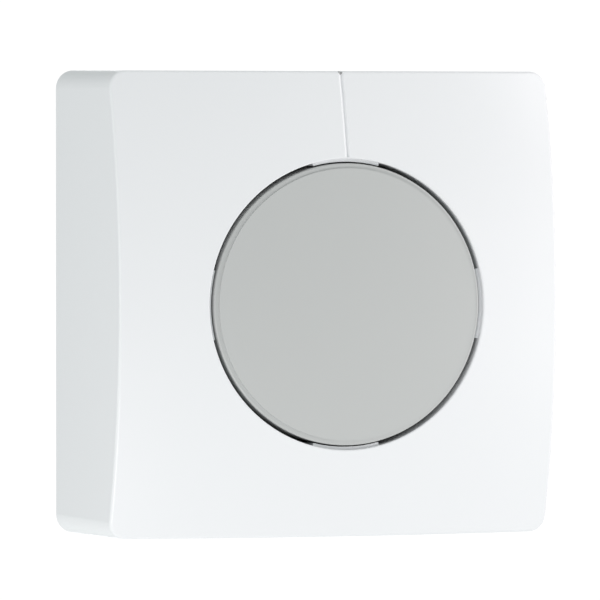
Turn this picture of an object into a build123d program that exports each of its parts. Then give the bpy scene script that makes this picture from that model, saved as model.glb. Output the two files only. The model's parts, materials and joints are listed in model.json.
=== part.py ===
from build123d import *
import os
from math import asin, atan, cos, degrees, pi, radians, sin, sqrt

os.makedirs("parts", exist_ok=True)

# Surface-mounted twilight switch, in millimetres. The wall is the plane Y = 0, the front looks
# along -Y, +X is to the right and +Z is up. The origin is the centre of the rear face. A depth is a
# distance in front of the wall, so a depth of 10 lies at Y = -10.

# Front cover: a square shell whose front is part of a sphere
cover_side = 95.0
cover_depth = 47.5
cover_draft = 0.32
cover_corner_radius = 3.8
dome_radius = 165.9
skirt_wall = 2.0
dome_wall = 2.2
front_edge_radius = 0.7
skirt_wall_gap = 0.4
rib_wall = 1.2

# Lens disc and the round opening around it
lens_radius = 28.5
lens_wall = 1.8
lens_side_wall = 1.4
lens_rim_width = 1.0
lens_rim_rounding = 0.4
lens_step = 0.45
opening_gap = 0.9
opening_edge_radius = 0.25
collar_wall = 1.6
collar_length = 8.9
tab_angle = 28.0
tab_gap = 0.3
tab_recess = 1.15
tab_length = 6.0

# V groove between the opening and the top edge, with its left flank the longer one
groove_width = 1.0
groove_depth = 0.4
groove_offset = 0.2
groove_end_gap = 0.3

# Cover hooks and the catches on the lid
hook_spacing = 50.0
hook_width = 8.0
hook_wall = 1.4
hook_skirt_gap = 0.5
hook_nose = 0.65
nose_height = 1.2
snap_clearance = 0.15
catch_height = 3.6
catch_bead = 0.5

# Wall base
base_depth = 25.0
base_floor = 2.4
base_wall = 2.0
base_corner_radius = 2.6
skirt_clearance = 0.4
back_pocket_depth = 0.8
back_pocket_corner_radius = 3.0
back_pocket_height = 26.0
back_pocket_centre = 26.0
upper_pocket_width = 32.0
upper_pocket_spacing = 38.0
lower_pocket_width = 22.0
lower_pocket_spacing = 56.0
wall_screw_spacing = 60.0
slot_length = 8.0
slot_width = 4.4
screw_pad_height = 1.4
screw_pad_margin = 2.2

# Cable entries
rear_hole_radius = 8.0
rear_entry_height = 14.0
bottom_hole_radius = 6.8
bottom_entry_depth = 11.0
entry_pad_wall = 1.4
flange_width = 1.6
flange_wall = 1.0
flange_recess = 1.2
rubber_clearance = 0.1
nipple_radius = 5.4
nipple_length = 2.6
membrane_wall = 1.2
cable_hole_radius = 3.0
notch_clearance = 1.4
entry_pad_margin = 1.0

# Latch arms that hold the sensor unit on the base
latch_width = 10.0
latch_wall = 1.6
latch_height = -14.0
latch_flex_room = 3.6
latch_nose = 1.0
latch_clearance = 0.4

# Lid, turret and seal of the sensor unit
lid_wall = 2.6
seal_gap = 0.4
seal_width = 1.2
seal_groove = 0.8
lip_wall = 1.4
lip_length = 3.0
lip_clearance = 0.3
turret_wall = 1.8
turret_front_wall = 1.6
turret_gap = 0.3
turret_lens_gap = 1.2
lens_flange_height = 4.0
lug_height = 1.6
lug_angle = 12.0
lug_reach = 0.6
lug_side_clearance = 0.5

# Circuit boards
board_wall = 1.6
standoff_height = 2.2
standoff_radius = 2.8
power_board_clearance = 1.2
board_low_edge = -13.0
board_step = 8.0
board_slot_clearance = 8.0
logic_board_clearance = 2.6
board_corner_radius = 2.0
board_screw_radius = 1.0
board_head_radius = 2.2
board_head_height = 1.5
cross_length = 2.6
cross_width = 0.5
screw_hole_clearance = 0.1
boss_margin = 0.2
board_screw_inset = 4.0
step_screw_inset = 3.2
step_screw_drop = 4.5
lower_screw_spacing = 38.0
part_gap = 1.6

# Dials and their potentiometers
dial_edge_distance = 12.8
dial_radius = 6.0
dial_height = 3.0
dial_lid_gap = 0.3
dial_shaft_radius = 3.0
dial_clearance = 0.08
dial_slot_width = 1.2
dial_slot_depth = 1.2
pointer_length = 2.0
flute_radius = 0.5
flute_count = 20
scale_ring_gap = 1.2
scale_ring_wall = 0.9
scale_ring_height = 0.9
pot_side = 9.6
pot_height = 3.6
pot_lid_gap = 0.2
pot_floor = 0.7
rotor_radius = 2.5
rotor_clearance = 0.1
rotor_rise = 0.1
key_width = 1.0
key_length = 3.2
key_depth = 1.3
key_clearance = 0.1

# Four-way slide switch
dip_width = 9.9
dip_length = 11.6
dip_height = 5.4
dip_edge_x = 14.5
dip_edge_z = 13.5
dip_pitch = 2.54
dip_count = 4
dip_slot_width = 1.5
dip_slot_length = 3.9
dip_slot_floor = 2.4
dip_clearance = 0.1
slider_length = 1.7
slider_height = 3.8
window_clearance = 0.3

# Terminal block
pole_count = 5
pole_pitch = 6.6
terminal_length = 12.0
terminal_height = 11.0
terminal_overhang = 1.5
terminal_floor = 1.4
cage_width = 4.8
cage_length = 6.6
cage_height = 6.0
cage_window = 3.4
cage_clearance = 0.1
wire_hole_radius = 1.7
wire_hole_height = 4.0
clamp_screw_radius = 1.45
clamp_head_radius = 2.1
clamp_head_height = 1.6
clamp_screw_length = 3.4
clamp_clearance = 0.05
access_clearance = 0.2
screw_slot_width = 0.6
terminal_chamfer = 1.2

# Relay
relay_length = 28.6
relay_width = 12.4
relay_height = 10.2
relay_wall = 0.7
relay_foot = 1.4
relay_foot_clearance = 0.1
relay_end_gap = 0.4
bobbin_rest_gap = 1.2
coil_height = 5.2
coil_radius = 3.0
coil_length = 13.9
bobbin_wall = 0.8
bobbin_tube_radius = 1.9
core_radius = 1.4
core_clearance = 0.06
pole_radius = 2.3
pole_wall = 1.2
yoke_wall = 0.8
yoke_width = 8.4
yoke_case_gap = 0.2
yoke_end_gap = 0.1
air_gap = 0.5
armature_wall = 0.9
armature_width = 8.0
armature_low_gap = 0.4
leaf_wall = 0.2
leaf_width = 3.0
contact_radius = 0.9
contact_height = 0.5
contact_gap = 0.6
contact_arm = 6.8
contact_stem_inset = 0.1

# Other electrical parts
film_capacitor_size = (18.0, 9.0, 11.0)
transformer_width = 13.0
transformer_length = 12.0
transformer_height = 10.5
transformer_core_length = 5.0
transformer_leg = 3.4
transformer_side = 1.6
transformer_clearance = 0.2
transformer_foot = 1.2
winding_post_length = 1.2
winding_end_inset = 0.5
winding_corner_radius = 1.0
varistor_radius = 5.0
varistor_wall = 4.0
lead_radius = 0.4
lead_length = 0.8
choke_radius = 4.0
choke_height = 8.0
bulk_capacitor_radius = 5.0
bulk_capacitor_height = 10.5
small_capacitor_radius = 3.0
small_capacitor_height = 7.0
fuse_radius = 4.2
fuse_height = 7.6
rectifier_size = (8.5, 6.5, 3.0)
corner_room = 8.0
row_edge_gap = 1.5
small_fillet = 0.5
vent_depth = 0.3
vent_width = 0.4
rectifier_chamfer = 0.4
varistor_fillet = 0.8
choke_flange = 1.2
choke_groove = 0.6

# Plug connection between the two boards
pin_count = 8
pin_pitch = 2.54
pin_side = 0.64
pin_clearance = 0.1
pin_solder_length = 0.8
pin_engagement = 6.0
strip_width = 2.5
strip_height = 2.5
strip_pin_clearance = 0.05
header_step_distance = 3.5
socket_height = 8.5
socket_floor = 1.0

# Light sensor, status lamp and their light guides
sensor_size = (5.0, 4.0, 1.1)
sensor_window_radius = 1.4
sensor_window_height = 0.4
guide_radius = 2.5
guide_flange_radius = 4.0
guide_flange_height = 0.9
guide_end_gap = 0.3
guide_clearance = 0.1
guide_lens_gap = 0.9
lamp_size = (3.0, 2.0, 1.3)
lamp_height = -9.0
lamp_guide_radius = 1.4
lamp_flange_width = 1.0
controller_side = 7.0
controller_height = 1.2
controller_chamfer = 0.2
controller_place = (-14.0, -8.0)


def facing_front(depth, x=0.0, z=0.0):
    """Plane parallel to the wall: local x is X, local y is Z, and it extrudes away from the wall."""
    return Plane(origin=(x, -depth, z), x_dir=(1, 0, 0), z_dir=(0, -1, 0))


def facing_down(height, x=0.0, depth=0.0):
    """Horizontal plane: local x is X, local y is depth, and it extrudes downwards."""
    return Plane(origin=(x, -depth, height), x_dir=(1, 0, 0), z_dir=(0, 0, -1))


def dome_depth(radius, inset=0.0):
    """Depth of the dome at a distance from the axis, or of a surface a wall's thickness inside it."""
    return sqrt((dome_radius - inset) ** 2 - radius**2) + cover_depth - dome_radius


def groove_profile(surface):
    """Section of the groove, cut into a surface at this height of the open sketch."""
    Polygon(
        (groove_offset, surface - groove_depth),
        (groove_width - groove_offset, surface + groove_depth),
        (-groove_width - groove_offset, surface + groove_depth),
        align=None,
    )


# Upright section through the axis: local x is the radius, local y is the depth
section = Plane(origin=(0, 0, 0), x_dir=(1, 0, 0), z_dir=(0, 0, -1))
front_axis = Axis((0, 0, 0), (0, -1, 0))
dome_centre_y = dome_radius - cover_depth

# Sizes that several pieces share
front_half = cover_side / 2 - cover_draft
corner_depth = dome_depth(sqrt(2) * front_half)
draft_angle = degrees(atan(cover_draft / corner_depth))
opening_radius = lens_radius + opening_gap
collar_radius = opening_radius + collar_wall
collar_end_depth = dome_depth(opening_radius) - collar_length
skirt_inner_half = front_half - skirt_wall

base_side = 2 * (skirt_inner_half - skirt_clearance)
base_inner = base_side - 2 * base_wall
base_inner_half = base_inner / 2
lid_back = base_depth + seal_gap
lid_front = lid_back + lid_wall

power_board_back = base_floor + standoff_height
power_board_front = power_board_back + board_wall
power_half = base_inner_half - power_board_clearance
board_notch_x = wall_screw_spacing / 2 - board_slot_clearance
logic_board_front = lid_back - pot_lid_gap - pot_height
logic_board_back = logic_board_front - board_wall
logic_half = base_inner_half - logic_board_clearance

turret_radius = lens_radius - lens_side_wall - turret_gap
turret_front = dome_depth(turret_radius, lens_wall) - turret_lens_gap
lens_seat_depth = lid_front + lens_flange_height

latch_outer_x = base_inner_half - latch_flex_room
latch_inner_x = latch_outer_x - latch_wall
latch_top = lid_front + latch_clearance + nose_height

hook_outer = skirt_inner_half - hook_skirt_gap
hook_inner = hook_outer - hook_wall
catch_bead_edge = hook_inner - hook_nose - snap_clearance
catch_outer = catch_bead_edge - catch_bead
hook_end_depth = lid_front + 0.5 * nose_height

dial_x = base_side / 2 - dial_edge_distance
dial_z = -dial_x
dip_x = base_side / 2 - dip_edge_x
dip_z = base_side / 2 - dip_edge_z

rear_entry_z = -base_inner_half + rear_entry_height
entry_wall = base_wall + entry_pad_wall
notch_radius = nipple_radius + notch_clearance

header_z = board_step - header_step_distance
terminal_z = board_low_edge - terminal_overhang + terminal_length / 2
socket_top = power_board_front + socket_height
pin_tip_depth = socket_top - pin_engagement

power_standoffs = [
    (-power_half + board_screw_inset, power_half - board_screw_inset),
    (power_half - board_screw_inset, power_half - board_screw_inset),
    (-board_notch_x + step_screw_inset, board_step - step_screw_drop),
    (board_notch_x - step_screw_inset, board_step - step_screw_drop),
]
logic_screws = [
    (-logic_half + board_screw_inset, board_step / 2),
    (logic_half - board_screw_inset, board_step / 2),
    (-lower_screw_spacing / 2, -logic_half + board_screw_inset),
    (lower_screw_spacing / 2, -logic_half + board_screw_inset),
]
pole_places = [((pole - (pole_count - 1) / 2) * pole_pitch, 0) for pole in range(pole_count)]

# Front cover
with BuildPart() as cover_cavity:
    with BuildSketch(facing_front(skirt_wall_gap)):
        RectangleRounded(
            cover_side - 2 * skirt_wall, cover_side - 2 * skirt_wall, cover_corner_radius - skirt_wall
        )
    extrude(amount=cover_depth, taper=draft_angle)
    with Locations((0, dome_centre_y, 0)):
        Sphere(dome_radius - dome_wall, mode=Mode.INTERSECT)

with BuildPart() as front_cover:
    with BuildSketch(facing_front(skirt_wall_gap)):
        RectangleRounded(cover_side, cover_side, cover_corner_radius)
    extrude(amount=cover_depth - skirt_wall_gap, taper=draft_angle)
    add(cover_cavity.part, mode=Mode.SUBTRACT)
    # Collar behind the opening, with four ribs that run out to the skirt
    with BuildSketch(facing_front(collar_end_depth)):
        Circle(collar_radius)
        with PolarLocations((collar_radius + skirt_inner_half) / 2, 4):
            Rectangle(skirt_inner_half - collar_radius + skirt_wall, rib_wall)
    extrude(amount=cover_depth - collar_end_depth)
    # Hook arms, two behind the upper edge and two behind the lower one
    with BuildSketch(facing_front(hook_end_depth)):
        with GridLocations(hook_spacing, hook_outer + hook_inner, 2, 2):
            Rectangle(hook_width, hook_wall)
    extrude(amount=cover_depth - hook_end_depth)
    with BuildSketch(facing_front(hook_end_depth)):
        with GridLocations(hook_spacing, 2 * hook_inner - hook_nose, 2, 2):
            Rectangle(hook_width, hook_nose)
    extrude(amount=nose_height)
    with Locations((0, dome_centre_y, 0)):
        Sphere(dome_radius, mode=Mode.INTERSECT)
    with BuildSketch(facing_front(0)):
        Circle(opening_radius)
    extrude(amount=cover_depth, mode=Mode.SUBTRACT)
    dome_face = front_cover.faces().filter_by(GeomType.SPHERE).sort_by(SortBy.AREA)[-1]
    fillet(dome_face.outer_wire().edges(), front_edge_radius)
    dome_face = front_cover.faces().filter_by(GeomType.SPHERE).sort_by(SortBy.AREA)[-1]
    fillet(dome_face.inner_wires().edges(), opening_edge_radius)
    # Four tabs in the ring gap, at the top, bottom, left and right
    tab_front = dome_depth(opening_radius) - tab_recess
    with BuildSketch(facing_front(tab_front - tab_length)):
        for quarter in range(4):
            tab_start = quarter * 90 - tab_angle / 2
            with BuildLine():
                inner_arc = CenterArc((0, 0), lens_radius + tab_gap, tab_start, tab_angle)
                outer_arc = CenterArc((0, 0), opening_radius + collar_wall / 2, tab_start, tab_angle)
                Line(inner_arc @ 0, outer_arc @ 0)
                Line(inner_arc @ 1, outer_arc @ 1)
            make_face()
    extrude(amount=tab_length)
    # Notch in the lower skirt for a cable that runs on the wall
    with BuildSketch(facing_down(-skirt_inner_half + skirt_wall / 2)):
        with Locations((0, bottom_entry_depth)):
            Circle(notch_radius)
        with Locations((0, bottom_entry_depth / 2)):
            Rectangle(2 * notch_radius, bottom_entry_depth)
    extrude(amount=cover_side / 2, mode=Mode.SUBTRACT)
    # V groove along the dome, turned about the sphere's centre from the opening to the top edge
    groove_start = asin((opening_radius + groove_end_gap) / dome_radius)
    groove_end = asin((front_half + groove_width) / dome_radius)
    groove_plane = Plane(
        origin=(0, dome_centre_y, 0), x_dir=(1, 0, 0), z_dir=(0, -sin(groove_start), -cos(groove_start))
    )
    with BuildSketch(groove_plane):
        groove_profile(dome_radius)
    revolve(
        axis=Axis((0, dome_centre_y, 0), (-1, 0, 0)),
        revolution_arc=degrees(groove_end - groove_start),
        mode=Mode.SUBTRACT,
    )
    # The groove's end across the rounded top edge
    edge_angle = asin(front_half / dome_radius)
    end_angle = (edge_angle + pi / 2) / 2
    rounding_inset = front_edge_radius * (1 / cos(pi / 2 - end_angle) - 1)
    end_plane = Plane(
        origin=(0, -dome_depth(front_half), front_half),
        x_dir=(1, 0, 0),
        z_dir=(0, -sin(end_angle), -cos(end_angle)),
    )
    with BuildSketch(end_plane):
        groove_profile(-rounding_inset)
    extrude(amount=front_edge_radius, both=True, mode=Mode.SUBTRACT)
front_cover.part.label = "front_cover"
export_step(front_cover.part, "parts/front_cover.step")

# Lens disc: a domed cap with a low rounded rim, snapped over the turret
cap_inner_radius = lens_radius - lens_side_wall
with BuildPart() as lens_cavity:
    with BuildSketch(facing_front(lens_seat_depth)):
        Circle(cap_inner_radius)
    extrude(amount=cover_depth - lens_seat_depth)
    with Locations((0, dome_centre_y, 0)):
        Sphere(dome_radius - lens_wall, mode=Mode.INTERSECT)

with BuildPart() as lens_disc:
    step_radius = lens_radius - lens_rim_width
    rim_corner = (lens_radius, dome_depth(lens_radius) - lens_step)
    with BuildSketch(section):
        with BuildLine():
            Polyline(
                (0, lens_seat_depth),
                (lens_radius, lens_seat_depth),
                rim_corner,
                (step_radius, dome_depth(step_radius) - lens_step),
                (step_radius, cover_depth),
                (0, cover_depth),
                close=True,
            )
        profile = make_face()
        fillet(profile.vertices().sort_by_distance(rim_corner)[0], lens_rim_rounding)
    revolve(axis=front_axis)
    with Locations((0, dome_centre_y, 0)):
        Sphere(dome_radius, mode=Mode.INTERSECT)
    add(lens_cavity.part, mode=Mode.SUBTRACT)
    # Windows for the turret's snap lugs
    window_depth = lens_seat_depth + lug_height
    with BuildSketch(facing_front(window_depth)):
        with PolarLocations(lens_radius, 4, start_angle=45):
            Rectangle(
                4 * lens_side_wall,
                2 * (lens_radius * sin(radians(lug_angle / 2)) + lug_side_clearance),
            )
        Circle(cap_inner_radius - lens_side_wall / 2, mode=Mode.SUBTRACT)
    extrude(amount=lug_height + 2 * snap_clearance, mode=Mode.SUBTRACT)
lens_disc.part.label = "lens_disc"
export_step(lens_disc.part, "parts/lens_disc.step")

# Wall base: an open box with screw slots, cable entries, standoffs and two latch arms
with BuildPart() as wall_base:
    with BuildSketch(facing_front(0)):
        RectangleRounded(base_side, base_side, base_corner_radius)
    extrude(amount=base_depth)
    with BuildSketch(facing_front(base_floor)):
        RectangleRounded(base_inner, base_inner, base_corner_radius - base_wall)
    extrude(amount=base_depth, mode=Mode.SUBTRACT)
    # Pads around the wall screw slots
    with BuildSketch(facing_front(base_floor)):
        with GridLocations(wall_screw_spacing, 0, 2, 1):
            SlotOverall(slot_length + 2 * screw_pad_margin, slot_width + 2 * screw_pad_margin)
    extrude(amount=screw_pad_height)
    with BuildSketch(facing_front(0)):
        with GridLocations(wall_screw_spacing, 0, 2, 1):
            SlotOverall(slot_length, slot_width)
    extrude(amount=base_depth, mode=Mode.SUBTRACT)
    # Standoffs for the power board
    with BuildSketch(facing_front(base_floor)):
        with Locations(*power_standoffs):
            Circle(standoff_radius)
            Circle(board_screw_radius + screw_hole_clearance, mode=Mode.SUBTRACT)
    extrude(amount=standoff_height)
    # Latch arms and their noses
    with BuildSketch(facing_front(base_floor)):
        with GridLocations(2 * latch_outer_x - latch_wall, 0, 2, 1):
            with Locations((0, latch_height)):
                Rectangle(latch_wall, latch_width)
    extrude(amount=latch_top - base_floor)
    with BuildSketch(facing_front(latch_top - nose_height)):
        with GridLocations(2 * latch_outer_x + latch_nose, 0, 2, 1):
            with Locations((0, latch_height)):
                Rectangle(latch_nose, latch_width)
    extrude(amount=nose_height)
    # Rear cable entry: a hole with a recess that keeps the grommet off the wall
    with BuildSketch(facing_front(0, z=rear_entry_z)):
        Circle(rear_hole_radius + flange_width + 2 * rubber_clearance)
    extrude(amount=flange_recess, mode=Mode.SUBTRACT)
    with BuildSketch(facing_front(0, z=rear_entry_z)):
        Circle(rear_hole_radius)
    extrude(amount=base_floor, mode=Mode.SUBTRACT)
    # Lower cable entry: a thicker wall with an outside recess and a hole
    with BuildSketch(facing_down(-base_inner_half + entry_pad_wall, depth=bottom_entry_depth)):
        Circle(bottom_hole_radius + flange_width + entry_pad_margin)
    extrude(amount=entry_pad_wall)
    with BuildSketch(facing_down(-base_side / 2 + flange_recess, depth=bottom_entry_depth)):
        Circle(bottom_hole_radius + flange_width + 2 * rubber_clearance)
    extrude(amount=flange_recess, mode=Mode.SUBTRACT)
    with BuildSketch(facing_down(-base_inner_half + entry_pad_wall, depth=bottom_entry_depth)):
        Circle(bottom_hole_radius)
    extrude(amount=entry_wall, mode=Mode.SUBTRACT)
    # Shallow pockets in the rear face
    with BuildSketch(facing_front(0)):
        with GridLocations(upper_pocket_spacing, 0, 2, 1):
            with Locations((0, back_pocket_centre)):
                RectangleRounded(upper_pocket_width, back_pocket_height, back_pocket_corner_radius)
        with GridLocations(lower_pocket_spacing, 0, 2, 1):
            with Locations((0, -back_pocket_centre)):
                RectangleRounded(lower_pocket_width, back_pocket_height, back_pocket_corner_radius)
    extrude(amount=back_pocket_depth, mode=Mode.SUBTRACT)
wall_base.part.label = "wall_base"
export_step(wall_base.part, "parts/wall_base.step")

# Rubber grommet of the rear cable entry
with BuildPart() as rear_grommet:
    flange_radius = rear_hole_radius + flange_width
    with BuildSketch(facing_front(flange_recess - flange_wall, z=rear_entry_z)):
        Circle(flange_radius)
    extrude(amount=flange_wall)
    with BuildSketch(facing_front(flange_recess, z=rear_entry_z)):
        Circle(rear_hole_radius - rubber_clearance)
    extrude(amount=base_floor - flange_recess)
    with BuildSketch(facing_front(base_floor, z=rear_entry_z)):
        Circle(flange_radius)
    extrude(amount=flange_wall)
    with BuildSketch(facing_front(base_floor + flange_wall, z=rear_entry_z)):
        Circle(nipple_radius)
    extrude(amount=nipple_length)
    with BuildSketch(facing_front(0, z=rear_entry_z)):
        Circle(nipple_radius - membrane_wall)
    extrude(amount=base_floor + flange_wall + nipple_length - membrane_wall, mode=Mode.SUBTRACT)
    with BuildSketch(facing_front(0, z=rear_entry_z)):
        Circle(cable_hole_radius)
    extrude(amount=base_depth, mode=Mode.SUBTRACT)
rear_grommet.part.label = "rear_grommet"
export_step(rear_grommet.part, "parts/rear_grommet.step")

# Rubber grommet of the lower cable entry
with BuildPart() as bottom_grommet:
    flange_radius = bottom_hole_radius + flange_width
    inner_height = -base_inner_half + entry_pad_wall
    with BuildSketch(facing_down(inner_height + flange_wall, depth=bottom_entry_depth)):
        Circle(flange_radius)
    extrude(amount=flange_wall)
    with BuildSketch(facing_down(inner_height, depth=bottom_entry_depth)):
        Circle(bottom_hole_radius - rubber_clearance)
    extrude(amount=entry_wall - flange_recess)
    with BuildSketch(facing_down(-base_side / 2 + flange_recess, depth=bottom_entry_depth)):
        Circle(flange_radius)
    extrude(amount=flange_wall)
    with BuildSketch(facing_down(inner_height + flange_wall, depth=bottom_entry_depth)):
        Circle(nipple_radius - membrane_wall)
    extrude(amount=2 * flange_wall + entry_wall - flange_recess - membrane_wall, mode=Mode.SUBTRACT)
    with BuildSketch(facing_down(0, depth=bottom_entry_depth)):
        Circle(cable_hole_radius)
    extrude(amount=cover_side, mode=Mode.SUBTRACT)
bottom_grommet.part.label = "bottom_grommet"
export_step(bottom_grommet.part, "parts/bottom_grommet.step")

# Sensor housing: the lid of the base with the turret that carries the lens
with BuildPart() as sensor_housing:
    with BuildSketch(facing_front(lid_back)):
        RectangleRounded(base_side, base_side, base_corner_radius)
    extrude(amount=lid_wall)
    lip_outer = base_inner - 2 * lip_clearance
    with BuildSketch(facing_front(lid_back - lip_length)):
        Rectangle(lip_outer, lip_outer)
        Rectangle(lip_outer - 2 * lip_wall, lip_outer - 2 * lip_wall, mode=Mode.SUBTRACT)
    extrude(amount=lip_length)
    with BuildSketch(facing_front(lid_front)):
        Circle(lens_radius)
    extrude(amount=lens_flange_height)
    with BuildSketch(facing_front(lid_front)):
        Circle(turret_radius)
    extrude(amount=turret_front - lid_front)
    with BuildSketch(facing_front(lid_back)):
        Circle(turret_radius - turret_wall)
    extrude(amount=turret_front - turret_front_wall - lid_back, mode=Mode.SUBTRACT)
    # Snap lugs on the turret
    with BuildSketch(facing_front(lens_seat_depth + lug_height + snap_clearance)):
        for quarter in range(4):
            lug_start = 45 + quarter * 90 - lug_angle / 2
            with BuildLine():
                inner_arc = CenterArc((0, 0), turret_radius - turret_wall / 2, lug_start, lug_angle)
                outer_arc = CenterArc((0, 0), turret_radius + lug_reach, lug_start, lug_angle)
                Line(inner_arc @ 0, outer_arc @ 0)
                Line(inner_arc @ 1, outer_arc @ 1)
            make_face()
    extrude(amount=lug_height)
    # Raised scale rings round the dials
    with BuildSketch(facing_front(lid_front)):
        with Locations((-dial_x, dial_z), (dial_x, dial_z)):
            Circle(dial_radius + scale_ring_gap + scale_ring_wall)
            Circle(dial_radius + scale_ring_gap, mode=Mode.SUBTRACT)
    extrude(amount=scale_ring_height)
    # Catches for the cover's hooks
    with BuildSketch(facing_front(lid_front)):
        with GridLocations(hook_spacing, 2 * catch_outer - hook_wall, 2, 2):
            Rectangle(hook_width, hook_wall)
    extrude(amount=catch_height)
    with BuildSketch(facing_front(lid_front + catch_height - nose_height)):
        with GridLocations(hook_spacing, 2 * catch_outer + catch_bead, 2, 2):
            Rectangle(hook_width, catch_bead)
    extrude(amount=nose_height)
    # Bosses for the logic board's screws
    with BuildSketch(facing_front(logic_board_front)):
        with Locations(*logic_screws):
            Circle(board_head_radius + boss_margin)
            Circle(board_screw_radius + screw_hole_clearance, mode=Mode.SUBTRACT)
    extrude(amount=lid_back - logic_board_front)
    # Holes for the light guides, the dials, the slide switch and the latch arms
    with BuildSketch(facing_front(lid_front)):
        Circle(guide_radius + guide_clearance)
        with Locations((0, lamp_height)):
            Circle(lamp_guide_radius + guide_clearance)
    extrude(amount=turret_front - lid_front, mode=Mode.SUBTRACT)
    latch_window_inner = latch_inner_x - latch_clearance
    latch_window_outer = latch_outer_x + latch_nose + snap_clearance
    with BuildSketch(facing_front(lid_back)):
        with Locations((-dial_x, dial_z), (dial_x, dial_z)):
            Circle(dial_shaft_radius + dial_clearance)
        with Locations((dip_x, dip_z)):
            Rectangle(dip_width + 2 * window_clearance, dip_length + 2 * window_clearance)
        with GridLocations(latch_window_inner + latch_window_outer, 0, 2, 1):
            with Locations((0, latch_height)):
                Rectangle(latch_window_outer - latch_window_inner, latch_width + 2 * latch_clearance)
    extrude(amount=lid_wall, mode=Mode.SUBTRACT)
    # Groove for the seal, over the middle of the base's rim
    seal_outer = base_side - base_wall + seal_width
    with BuildSketch(facing_front(lid_back)):
        RectangleRounded(seal_outer, seal_outer, base_corner_radius - (base_wall - seal_width) / 2)
        RectangleRounded(
            seal_outer - 2 * seal_width,
            seal_outer - 2 * seal_width,
            base_corner_radius - (base_wall + seal_width) / 2,
            mode=Mode.SUBTRACT,
        )
    extrude(amount=seal_groove, mode=Mode.SUBTRACT)
sensor_housing.part.label = "sensor_housing"
export_step(sensor_housing.part, "parts/sensor_housing.step")

# Seal in the lid's groove, resting on the base's rim
with BuildPart() as lid_seal:
    with BuildSketch(facing_front(base_depth)):
        RectangleRounded(seal_outer, seal_outer, base_corner_radius - (base_wall - seal_width) / 2)
        RectangleRounded(
            seal_outer - 2 * seal_width,
            seal_outer - 2 * seal_width,
            base_corner_radius - (base_wall + seal_width) / 2,
            mode=Mode.SUBTRACT,
        )
    extrude(amount=seal_gap + seal_groove)
lid_seal.part.label = "lid_seal"
export_step(lid_seal.part, "parts/lid_seal.step")

# Power board: stepped in at the bottom, clear of the wall screws
with BuildPart() as power_board:
    with BuildSketch(facing_front(power_board_back)):
        with BuildLine():
            Polyline(
                (-power_half, power_half),
                (power_half, power_half),
                (power_half, board_step),
                (board_notch_x, board_step),
                (board_notch_x, board_low_edge),
                (-board_notch_x, board_low_edge),
                (-board_notch_x, board_step),
                (-power_half, board_step),
                close=True,
            )
        make_face()
        with Locations(*power_standoffs):
            Circle(board_screw_radius + screw_hole_clearance, mode=Mode.SUBTRACT)
    extrude(amount=board_wall)
power_board.part.label = "power_board"
export_step(power_board.part, "parts/power_board.step")

# Logic board: fixed behind the lid, with a cut-out on each side for the latch arms
with BuildPart() as logic_board:
    with BuildSketch(facing_front(logic_board_back)):
        RectangleRounded(2 * logic_half, 2 * logic_half, board_corner_radius)
        with GridLocations(2 * logic_half, 0, 2, 1):
            with Locations((0, latch_height)):
                Rectangle(
                    2 * (logic_half - latch_inner_x + 2 * latch_clearance),
                    latch_width + 4 * latch_clearance,
                    mode=Mode.SUBTRACT,
                )
        with Locations(*logic_screws):
            Circle(board_screw_radius + screw_hole_clearance, mode=Mode.SUBTRACT)
        with Locations((0, header_z)):
            with GridLocations(pin_pitch, 0, pin_count, 1):
                Circle(pin_side, mode=Mode.SUBTRACT)
    extrude(amount=board_wall)
logic_board.part.label = "logic_board"
export_step(logic_board.part, "parts/logic_board.step")

# Screws of the two boards
with BuildPart() as power_board_screws:
    with BuildSketch(facing_front(base_floor)):
        with Locations(*power_standoffs):
            Circle(board_screw_radius)
    extrude(amount=power_board_front - base_floor)
    with BuildSketch(facing_front(power_board_front)):
        with Locations(*power_standoffs):
            Circle(board_head_radius)
    extrude(amount=board_head_height)
    with BuildSketch(facing_front(power_board_front + board_head_height / 2)):
        with Locations(*power_standoffs):
            Rectangle(cross_length, cross_width)
            Rectangle(cross_width, cross_length)
    extrude(amount=board_head_height, mode=Mode.SUBTRACT)
power_board_screws.part.label = "power_board_screws"
export_step(power_board_screws.part, "parts/power_board_screws.step")

with BuildPart() as logic_board_screws:
    with BuildSketch(facing_front(logic_board_back)):
        with Locations(*logic_screws):
            Circle(board_screw_radius)
    extrude(amount=lid_back - logic_board_back)
    with BuildSketch(facing_front(logic_board_back - board_head_height)):
        with Locations(*logic_screws):
            Circle(board_head_radius)
    extrude(amount=board_head_height)
    with BuildSketch(facing_front(logic_board_back - board_head_height)):
        with Locations(*logic_screws):
            Rectangle(cross_length, cross_width)
            Rectangle(cross_width, cross_length)
    extrude(amount=board_head_height / 2, mode=Mode.SUBTRACT)
logic_board_screws.part.label = "logic_board_screws"
export_step(logic_board_screws.part, "parts/logic_board_screws.step")

# Terminal block: its housing, the wire clamps and their screws
chamber_height = cage_height + cage_clearance
with BuildPart() as terminal_housing:
    with BuildSketch(facing_front(power_board_front, z=terminal_z)):
        Rectangle(pole_count * pole_pitch, terminal_length)
    extrude(amount=terminal_height)
    top_edges = terminal_housing.faces().sort_by(Axis.Y)[0].edges()
    chamfer(top_edges.filter_by(Axis.X), terminal_chamfer)
    with BuildSketch(facing_front(power_board_front + terminal_floor, z=terminal_z)):
        with Locations(*pole_places):
            Rectangle(cage_width + 2 * cage_clearance, cage_length + 2 * cage_clearance)
    extrude(amount=chamber_height, mode=Mode.SUBTRACT)
    with BuildSketch(facing_front(power_board_front + terminal_floor, z=terminal_z)):
        with Locations(*pole_places):
            Circle(clamp_head_radius + access_clearance)
    extrude(amount=terminal_height, mode=Mode.SUBTRACT)
    with BuildSketch(facing_down(terminal_z, depth=power_board_front + wire_hole_height)):
        with Locations(*pole_places):
            Circle(wire_hole_radius)
    extrude(amount=terminal_length, mode=Mode.SUBTRACT)
terminal_housing.part.label = "terminal_housing"
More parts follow.
